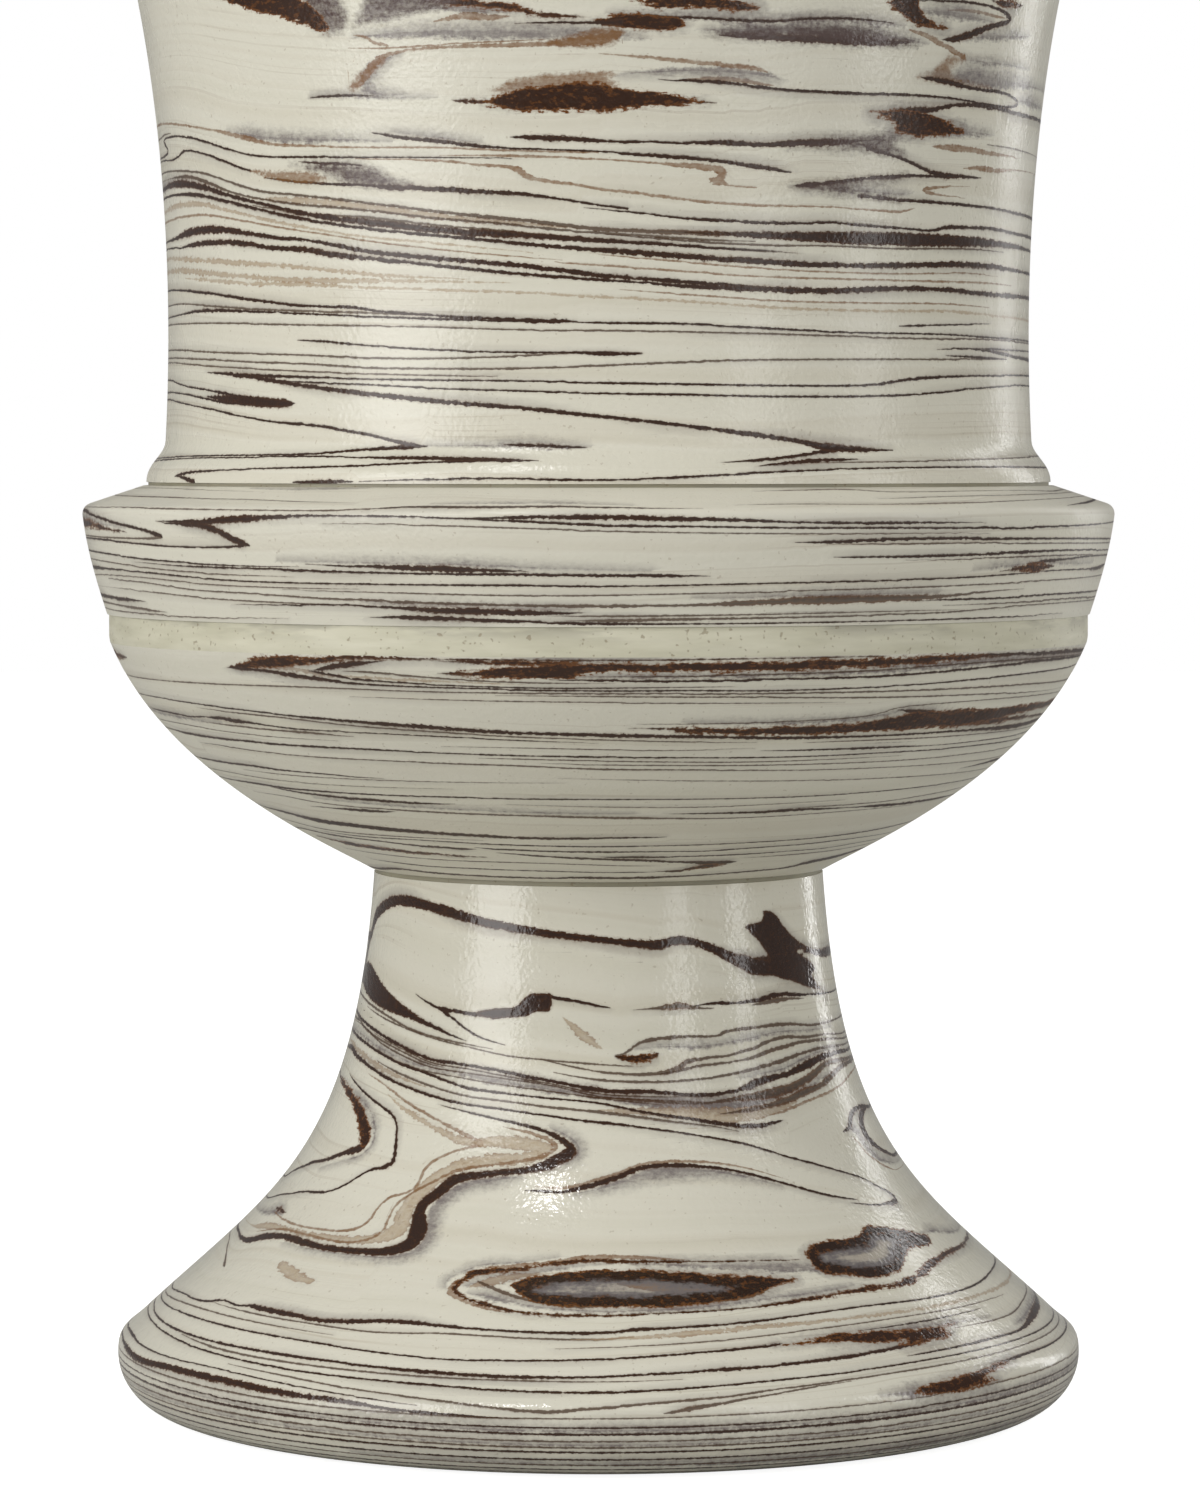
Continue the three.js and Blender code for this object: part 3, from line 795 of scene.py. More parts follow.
     (-28.8,4.8,1.5),(-30,2.4,1.2),(-34,1,.8),(-40,.7,.5),(-50,.6,.3),(-60,.8)),
    ("smoke",55.6,(-10,8),(-6.4,6.6,.5),(-4.2,5,.7),(-3.6,3.6,.8),(-4.6,2.2,.7),(-7.6,.8,.5),(-12,-.6)),
    ("smoke",42,(-83,-1,.2),(-76,-.3,.8),(-73,.3,1.2),(-70,.5,.9),(-67.5,.2)),
    ("lens",42,(-73,1),(-71,.9,.4),(-68.5,.7,.25),(-66.5,.7)),
    ("fine",31,(-84,4,.1),(-78,2.8,.14),(-74,1.6,.2),(-72,.8,.35),(-70.5,.3)),
    ("fine",75,(-72,9),(-60,7.4,.14),(-50,6,.16),(-40,4.6,.14),(-30,3.4,.12),(-20,2.1,.14),(-12,1.6),
     (0,.8,.16),(8,.4)),
    ("fine",68.6,(-80,11.7),(-70,11.2,.14),(-60,9),(-50,7.1,.16),(-40,5.4,.14),(-30,4.8,.12),(-20,4),
     (-10,3),(0,1),(10,.3,.1),(22,-.4)),
    ("fine",69.9,(-64,9.3),(-50,7,.14),(-40,5,.12),(-30,4.3),(-20,3.2),(-10,2,.14),(0,.2),(12,-.5,.1),
     (20,-.7)),
    ("fine",68,(-56,7.2),(-44,5.4,.14),(-34,4.6,.12),(-26,3.9),(-16,3),(-6,2),(4,.8,.1),(14,-.2)),
    ("smoke",69,(-46,5.4),(-38,4.8,.5),(-30,4.2,.8),(-20,3.2,.9),(-10,2),(0,.9,.7),(8,0,.4),(14,-.6)),
    ("smoke",74,(-84,4.9,.3),(-70,4.2,.5),(-58,2.4),(-48,.8,.3),(-42,0)),
    ("taupe",71,(-82,5.2,.2),(-70,3.9,.5),(-60,2.1),(-50,.5,.3),(-40,-1)),
    ("smoke",66.6,(6,2),(12,1.3,1),(20,.6,1.4),(28,.2),(34,0,1),(40,.2)),
    # the bundle at the right of the stem
    ("fine",81,(3.5,-3.5),(6,-3,.2),(8,-1.7,.22),(10,-.8,.28),(15,-.2,.34),(20,0,.26),(28,-.2,.22),
     (30,.5,.3),(35,.9),(40,1),(45,1.1),(50,1,.32),(55,.5,.25),(60,.1,.2),(80,.1,.16)),
    ("lens",77,(3.5,.4),(5.5,.1,.4),(8,-.4,.7),(10,0,.9),(12,.4,.7),(13.8,.9)),
    ("fine",74,(-14,2.9),(-6,1.4,.14),(0,.4,.18),(6,-.1,.24),(10,-.2,.28),(15,.1,.4),(18,1,.5),(20,2,.45),
     (25,2.6,.28),(30,2.8,.25),(34,3.4),(38,4,.3),(42,5),(48,5.5),(55,5,.26),(65,4.8,.16),(76,4,.14),
     (86,3.8,.1)),
    ("fine",74,(12,-.4),(18,.3,.2),(22,1,.3),(30,1.5,.2),(36,2,.28),(42,3.1,.4),(48,3.7),(52,4.1,.3),
     (60,4,.25),(70,3.5,.2),(80,2.8,.18)),
    ("fine",71.8,(-10,2.4),(0,1,.2),(10,.5,.25),(20,.6,.22),(28,1.1,.2),(36,2,.3),(44,3,.35),(52,4,.3),
     (60,4.5,.25),(70,4.2,.2),(80,3.8,.16)),
    ("smoke",79,(8,-.2),(14,.2,.3),(22,0,.5),(30,.4),(38,1.2),(46,1.8,.4),(56,1.4,.3),(70,1)),
    ("smoke",72.2,(32,0),(38,.7,.5),(46,1.4),(54,3,.4),(62,3.6,.3),(72,3.2)),
    # the tongue and the curl at the right edge
    ("ink",59.8,(59,-.2),(61,0,.35),(63,.5,.6),(65,2,.7),(67,2.9,.65),(70,3.4,.5),(75,3.3,.4),(82,2.6,.3)),
    ("ink",53,(79,9.9,.2),(75,9.4,.45),(71.5,8.6,.85),(69.6,7.3,1.15),(68.9,5.7,1.25),(69.3,4.2,1.2),
     (70.8,3,.9),(73,1.8,.6),(76,.6,.45),(81,-.6,.3)),
    ("smoke",51.2,(62,9.4),(65,8.2,1.2),(66,6,1.4),(67.5,3.8,1.2),(70,2,.8),(74,.8,.4),(79,0)),
    ("rust",51.2,(61.5,7.4),(63.4,6,.3),(64.6,4,.35),(66.6,2.2,.3),(70,.4,.25),(75,-1)),
    # the eye
    ("blot",31,(-13.4,4.2),(-10.6,5.2),(-7.5,5.9),(-4,6.5),(2,6.7),(9,6.5),(14,5.9),(18.5,5.3),(22,5),
     (25.5,4.6),(28,4.1),(30.6,3.6),(27,3),(24,2.1),(21,1.3),(17.5,.8),(13,.5),(7,.3),(0,.4),(-4,.4),
     (-8,.8),(-10,1.5),(-12,3)),
    ("rust",30,(-12,0),(-16,.9,.35),(-19.5,2,.45),(-21.7,3.3,.6),(-21.4,4.5),(-19.6,6),(-17,7.3),(-13,8,.5),
     (-8,8.8,.4),(-3,9.7,.5),(2,9.9),(8,9.7,.3),(14,9.1)),
    ("lens",37.2,(-20.8,-3.9,.4),(-21.2,-3,.5),(-20.3,-1.8,.7),(-18.6,-.6,.8),(-16.6,0,.7),(-14,.2,.5),
     (-10,.8),(-7,1.5),(-3,2,.42),(0,2.1,.4),(5,1.9,.3),(15,1.6,.2),(25,1.2,.16),(33,.8)),
    ("lens",30.9,(-21.2,2.5,.3),(-19.5,1.6,.4),(-17,.8,.42),(-14,0,.4),(-10,-.7,.36),(0,-1,.3),(10,-.7,.2),
     (20,-.4),(30,.3,.38),(40,.9,.5),(48,.9),(52,1.4,.8),(55,2,.9),(58,2.8,.8),(62,3.5,.6),(67,3.9,.5),
     (75,4,.4),(86,4.2,.28)),
    ("taupe",34.9,(-19,-.7,.3),(-17.4,0,.8),(-15,.7,1),(-12.5,1.4,.6),(-8,2,.3),(-4,2.3)),
    ("fine",31.8,(-18,3.5,.2),(-16.4,2.8,.3),(-14.4,2,.36),(-11.5,1,.32),(-8,.2,.3),(-3,-.4,.4),(0,-.1,.5),
     (10,0),(15,.2,.6),(20,.7,.9),(23,1.5,1.2),(25,1.8,.6)),
    ("rust",33.8,(2.5,1.5),(5,1.3,.7),(9,.8,1.2),(12,.5),(15,.2,.9),(18,0,.4),(20,0)),
    ("smoke",35.2,(-20.4,-1),(-17.4,0,1.1),(-13.6,.8,1),(-9,2,.6),(-4,3,.3),(2,3.6)),
    ("smoke",31,(-19,2.2),(-15,1.8,.9),(-10,.6,.6),(0,-.3,.4),(12,0,.5),(24,.9),(34,1.4,.3),(40,1.8)),
    ("smoke",37,(4,1.8),(10,1.6,.5),(16,1.1,.8),(22,.8,1.1),(28,.2,1.4),(33,-.4,1),(37,-1.8,.4),(40,-3)),
    ("smoke",35.9,(-22.6,-2.1),(-23,-.9,.3),(-21.6,.5,.4),(-18,2.3),(-12,3,.2),(-6,4)),
    # the patch at the right
    ("blot",33,(33.8,6),(35.2,6.7),(36.5,7.4),(40.4,7.7),(44.6,7.7),(47.5,7.9),(49.1,9.1),(51.7,9.3),
     (55.1,8.6),(58.8,7.7),(63,6.3),(66,5.6),(65.1,4),(61.4,4),(56.7,3.9),(54.1,2.8),(52,1.4),(49.3,.6),
     (45.1,.5),(42,.8),(39.4,1.7),(36.2,2),(34.6,3.4)),
    ("smoke",39,(66,.2),(60,.2,.6),(55,.8,.8),(50,.6,.4),(46,0)),
    ("smoke",38,(66,.9),(69,1,.6),(73,.2),(80,-.9,.4),(86,-1.2,.2)),
    # lines above and on the roll
    ("ink",26.7,(-85,-2.4,.14),(-75,-1.4,.15),(-69,-1.3,.2),(-65,-.8,.25),(-62,0,.3),(-57,-.1,.22),
     (-54,.3,.4),(-50,.2,.6),(-45,.1),(-40,-.1,.5),(-35,.2),(-30,.8),(-26,1),(-22,.8,.36),(-15,.5,.28),
     (-8,.3,.26),(0,.3,.34),(5,.8,.36),(10,1,.3),(20,1.4,.25),(30,2.1,.2),(40,2.4),(50,2.1),(60,2),(68,2.3),
     (80,3,.15)),
    ("taupe",26.2,(-4,-.4),(5,0,.3),(12,.5,.5),(22,1,.45),(35,1.2,.35),(50,1.1),(65,1),(84,.8,.3)),
    ("fine",25,(-64,1),(-52,.9,.16),(-40,.8),(-30,.6),(-20,1.2,.18),(-10,1,.2),(0,.9),(5,1.3)),
    ("fine",23.6,(-88,-.6,.1),(-80,0,.14),(-70,.7),(-60,1,.15),(-45,1,.1),(-36,.8)),
    ("ink",22,(-84,.3,.12),(-70,.8,.15),(-60,1,.2),(-50,1),(-40,.9),(-30,.4,.18),(-20,0),(-10,.2,.2),
     (0,.6,.22),(5,.9,.26),(10,1.3,.22),(20,1.9,.26),(24,2.2,.3)),
    ("gash",22,(22.6,2.1),(26,2.4),(30,3),(36.2,2.9),(40,2.6),(45,2.2),(50.4,2),(53,2.1),(50,1.4),(49.3,1),
     (50.8,.3),(46,-.1),(42.5,-.1),(40.5,0),(42.5,.5),(40,.8),(36,1.2),(33,1.6),(29.4,2),(25,2)),
    ("ink",25.2,(36,0),(45,.1,.16),(56,.1,.1),(62,0)),
    ("smoke",23.6,(38,1),(44,1,.5),(50,.8,.6),(56,.4,.3),(62,0)),
    ("ink",19.6,(-86,1.3,.12),(-80,1,.15),(-70,.7,.2),(-60,.6,.22),(-50,.6,.28),(-40,.6,.3),(-30,.4,.28),
     (-20,.1,.4),(-10,-.1,.36),(0,.1,.26),(5,.4,.3),(10,.6,.26),(15,.9,.4),(20,1,.32),(30,1.5,.4),
     (38,2,.36),(43,2.4,.42),(47,2.7,.2),(52,3)),
    ("fine",18.9,(-64,1),(-56,.5,.2),(-50,.3,.22),(-40,.2,.2),(-30,.1),(-20,0),(-10,0,.16),(2,0,.1),(10,.2)),
    ("ink",18,(-84,1.7,.1),(-72,1.3,.16),(-60,.7,.18),(-50,.3,.2),(-40,0,.22),(-30,-.2),(-20,-.4,.26),
     (-10,-.8),(0,-.9,.3),(5,-.7,.26),(10,-.4,.22),(20,.2,.2),(30,.6,.18),(40,1,.16),(55,1.1,.15),
     (75,.9,.14),(86,.8,.12)),
    ("fine",13.8,(-50,3.5),(-40,3.1,.16),(-30,2.3,.18),(-22,1.7,.2),(-15,1,.22),(-10,.3,.26),(-5,0,.3),
     (-2,.5),(0,.7),(5,1.4,.26),(8,1.7,.3),(15,2.3,.22),(20,2.9,.2),(30,3.6,.18),(40,4,.16),(60,4.2,.14),
     (80,4,.12)),
    ("fine",13.4,(7,0),(9,.5,.4),(11,1),(13,1.4,.28),(16,2,.25),(20,2.6,.2),(25,3.3,.16),(31,3.8)),
    ("ink",16,(-90,-.1,.12),(-82,.3,.26),(-78,.3),(-74,.1,.18),(-66,0,.15),(-50,.2,.14),(-38,-.4),
     (-28,-1.2,.12),(-20,-2)),
    ("ink",13.8,(-86,1.1,.2),(-80,1,.3),(-75,.4,.6),(-70,0,.7),(-65,.3,.6),(-60,.7),(-50,.8,.7),(-45,.7),
     (-40,.3,.6),(-35,.2,.5),(-30,0,.4),(-25,-.6,.3),(-15,-1.2,.2),(-8,-1.4)),
    ("gash",13,(38,1.6),(40,2.1),(44.6,2.6),(50,2.9),(54.6,3.3),(58,3.5),(56,3),(54,2.7),(51,1.9),
     (50.2,1.3),(52.5,.7),(49.9,.4),(44.6,0),(40,.4),(38.6,1)),
    ("smoke",13.4,(33,.9),(36,1,.6),(38.4,1,1.1),(40,1)),
    ("ink",16,(53,.1,.2),(55,.3,.35),(60,.6,.3),(70,.5,.18),(82,.5,.14)),
    ("ink",20,(40,.1),(44,.2,.18),(50,.3,.22),(60,.3,.28),(65,.2,.22),(68,.4,.35),(71,.8,.6),(75,1.3,.85),
     (80,1.7,.8),(85,2,.5),(90,2.2,.3)),
    ("smoke",21.6,(66,-.4),(70,.2,.8),(76,.8,.9),(82,1,.7),(90,1,.4)),
    ("fine",25.2,(-6,-.9),(8,-.3,.12),(20,.4),(30,1),(44,1.3),(60,1,.1),(72,.7)),
    ("fine",23,(52,.3),(60,0,.14),(68,-.1),(76,.6,.12),(86,1,.1)),
    # the close lines of the roll's underside
    ("fine",12,(-90,.9,.1),(-60,.8,.14),(-30,.4),(0,.6,.1),(30,1),(60,1.2),(90,.9,.1)),
    ("ink",10.4,(-90,1,.1),(-50,.8,.12),(-20,.4,.14),(15,.5),(50,.9,.12),(90,1,.1)),
    ("ink",9.1,(-90,1,.16),(-50,.8,.22),(-10,.4,.2),(25,.6,.24),(60,.9,.2),(90,1,.16)),
    ("fine",8,(-90,.6,.12),(-45,.4,.16),(-5,.1,.14),(40,.3,.16),(90,.6,.12)),
    ("smoke",7,(-90,.9,.1),(-40,.7,.3),(10,.4,.4),(50,.7,.3),(90,.9,.1)),
    ("fine",7,(-90,.2,.1),(-50,.1,.14),(-8,-.2,.16),(40,0,.14),(90,.2,.1)),
    ("ink",6,(-90,.1,.14),(-45,0,.2),(0,-.2),(50,0,.18),(90,.1,.14)),
    ("ink",4,(-90,.5,.14),(-50,.4,.18),(0,.2,.2),(45,.4,.16),(90,.5,.14)),
    ("fine",2.2,(-90,1,.1),(-40,.9,.14),(5,.7,.2),(50,.9,.16),(90,1,.1)),
    ("ink",1,(-90,1,.12),(-30,.9,.2),(20,.8),(60,.9,.16),(90,1,.12)),
    ("fine",1,(-90,.1,.2),(-30,0,.24),(20,-.1,.26),(60,0,.24),(90,.1,.2)),
    ("smoke",9.9,(-60,1),(-30,.4,.4),(10,.5,.5),(40,.7,.4),(60,1,.8),(80,1,.6),(90,.9,.2)),
    ("smoke",3,(-30,.4),(0,.2,.6),(20,.1,1.1),(45,.2,1.2),(65,.4,.8),(84,.6,.3)),
]

foot_roughness = (0.12, 0.23)
foot_bleed = 0.04
stained_vein = vein_layer_group()
crown = np.array((roll_radius - roll_crown_inset, roll_level + roll_crown_height))
ring_outer = roll_radius - rest_ring_inset
ring_inner = ring_outer - rest_ring_width
flare = curve((stem_radius, foot_height), stem_top_angle, stem_pull, crown, flare_angle, flare_pull)
upper_roll = curve(crown, flare_angle, roll_crown_inset, (roll_radius, roll_level), 270, roll_crown_inset)
lower_roll = arc((ring_outer, roll_level), rest_ring_inset, roll_level, 0, -90)
foot_skin = np.concatenate((flare, upper_roll[1:], lower_roll[1:]))
socket_level = foot_height - socket_depth
socket_radius = stem_radius - foot_socket_wall
inside = offset_left(flare, -foot_wall)
inside = inside[(inside[:, 0] < ring_inner) & (inside[:, 1] < socket_level - joint_clearance)]
socket = [(inside[0, 0], socket_level), (socket_radius, socket_level), (socket_radius, foot_height)]
foot = turned("foot_of_marbled_clay", [*foot_skin, (ring_inner, 0), *inside[::-1], *socket])
lay_veins(foot, foot_skin, foot_veins, foot_bleed)
foot.data.materials.append(marbled_clay("marbled_earthenware_satin_glaze_foot", foot_roughness))
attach(foot, "root")
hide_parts("pedestal_foot")

# Foot joint slip: the thin bed of plain slip between the stem and the bowl, wiped back so that it
# shows only as a shadow line. Its colour is darkened as painted shade for that line. The glaze is thin
# on it, so it is duller than the marbled clay.
foot_slip_thickness = 1
foot_slip_recess = 0.4
slip_roughness = 0.5
dragged_clay = "#8f8a7c"
slip_pit = "#7d6a4d"
# Noise over a metre: waves of 2.4 mm and drags of 3.8 mm, drawn out sideways, and pits 1.1 mm apart
slip_waves = 420
slip_drags = 260
slip_pits = 900
slip_squeeze = 0.16
smear_band = (0.46, 0.62, 0.0, 0.5)
pit_band = (0.66, 0.74, 0.0, 0.5)
# The drags grow stronger between these two heights
smear_start = 161.5
smear_end = 164.8
smear_least = 0.15
pit_depth = 2.0
slip_relief = 0.5


def dried_slip(name, dull, fair):
    """Smeared clay slurry: dull, pitted at half a millimetre, with grey clay dragged into its top edge."""
    material = bpy.data.materials.new(name)
    material.use_nodes = True
    tree = material.node_tree
    shader = tree.nodes["Principled BSDF"]
    where = add(tree, "ShaderNodeTexCoord").outputs["Object"]
    drawn = add(tree, "ShaderNodeMapping", i0=where, Scale=(slip_squeeze, slip_squeeze, 1)).outputs[0]
    uneven = add(tree, "ShaderNodeTexNoise", Vector=drawn, Scale=slip_waves, Detail=3.0).outputs["Fac"]
    dragged = add(tree, "ShaderNodeTexNoise", Vector=drawn, Scale=slip_drags, Detail=4.0,
                  Roughness=0.6).outputs["Fac"]
    clay = ramp(tree, uneven, (0.3, dull, 1), (0.7, fair, 1))[0]
    level = add(tree, "ShaderNodeSeparateXYZ", Vector=where).outputs["Z"]
    smear = times(tree, fade(tree, dragged, *smear_band),
                  fade(tree, level, smear_start * mm, smear_end * mm, smear_least, 1.0))
    clay = laid_over(tree, smear, clay, linear(dragged_clay))
    pits = add(tree, "ShaderNodeTexNoise", Vector=where, Scale=slip_pits, Detail=1.0).outputs["Fac"]
    pitted = fade(tree, pits, *pit_band)
    clay = laid_over(tree, pitted, clay, linear(slip_pit))
    tree.links.new(clay, shader.inputs["Base Color"])
    shader.inputs["Roughness"].default_value = slip_roughness
    height = calc(tree, "MULTIPLY_ADD", pitted, -pit_depth, uneven)
    bump = add(tree, "ShaderNodeBump", Height=height, Strength=slip_relief, Distance=peel_depth * mm)
    tree.links.new(bump.outputs[0], shader.inputs["Normal"])
    return material


bowl_seat_level = foot_height + foot_slip_thickness
# The joint slip's two colours are darker than the seam slip's. This is painted shade for the shadow line in
# the recess between the parts.
joint_slip = dried_slip("clay_slip_darkened_as_painted_shade", "#8f8a76", "#a39e88")
slip_outer = stem_radius - foot_slip_recess
foot_slip = turned("slip_under_the_bowl", [
    (socket_radius, foot_height), (slip_outer, foot_height),
    (slip_outer, bowl_seat_level), (socket_radius, bowl_seat_level),
])
foot_slip.data.materials.append(joint_slip)
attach(foot_slip, "root")
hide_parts("foot_joint_slip")

# Lower bowl: marbled earthenware, thrown upright and turned over on the stem. A foot ring below
# its floor stands in the stem's socket, and a thin tongue rises inside its rim.
lower_bowl_height = 47
bowl_ledge = 0.9
bowl_foot_angle = 30
bowl_foot_pull = 9
seam_radius = 101.4
seam_angle = 68
seam_pull = 30
bowl_wall = 7
bowl_floor_thickness = 9
bowl_floor_radius = 38
bowl_floor_pull = 14
bowl_well_pull = 34
foot_ring_width = 7
register_depth = 5
tongue_width = 2.6
tongue_height = 5
bowl_roughness = (0.36, 0.5)
inner_turn = 12

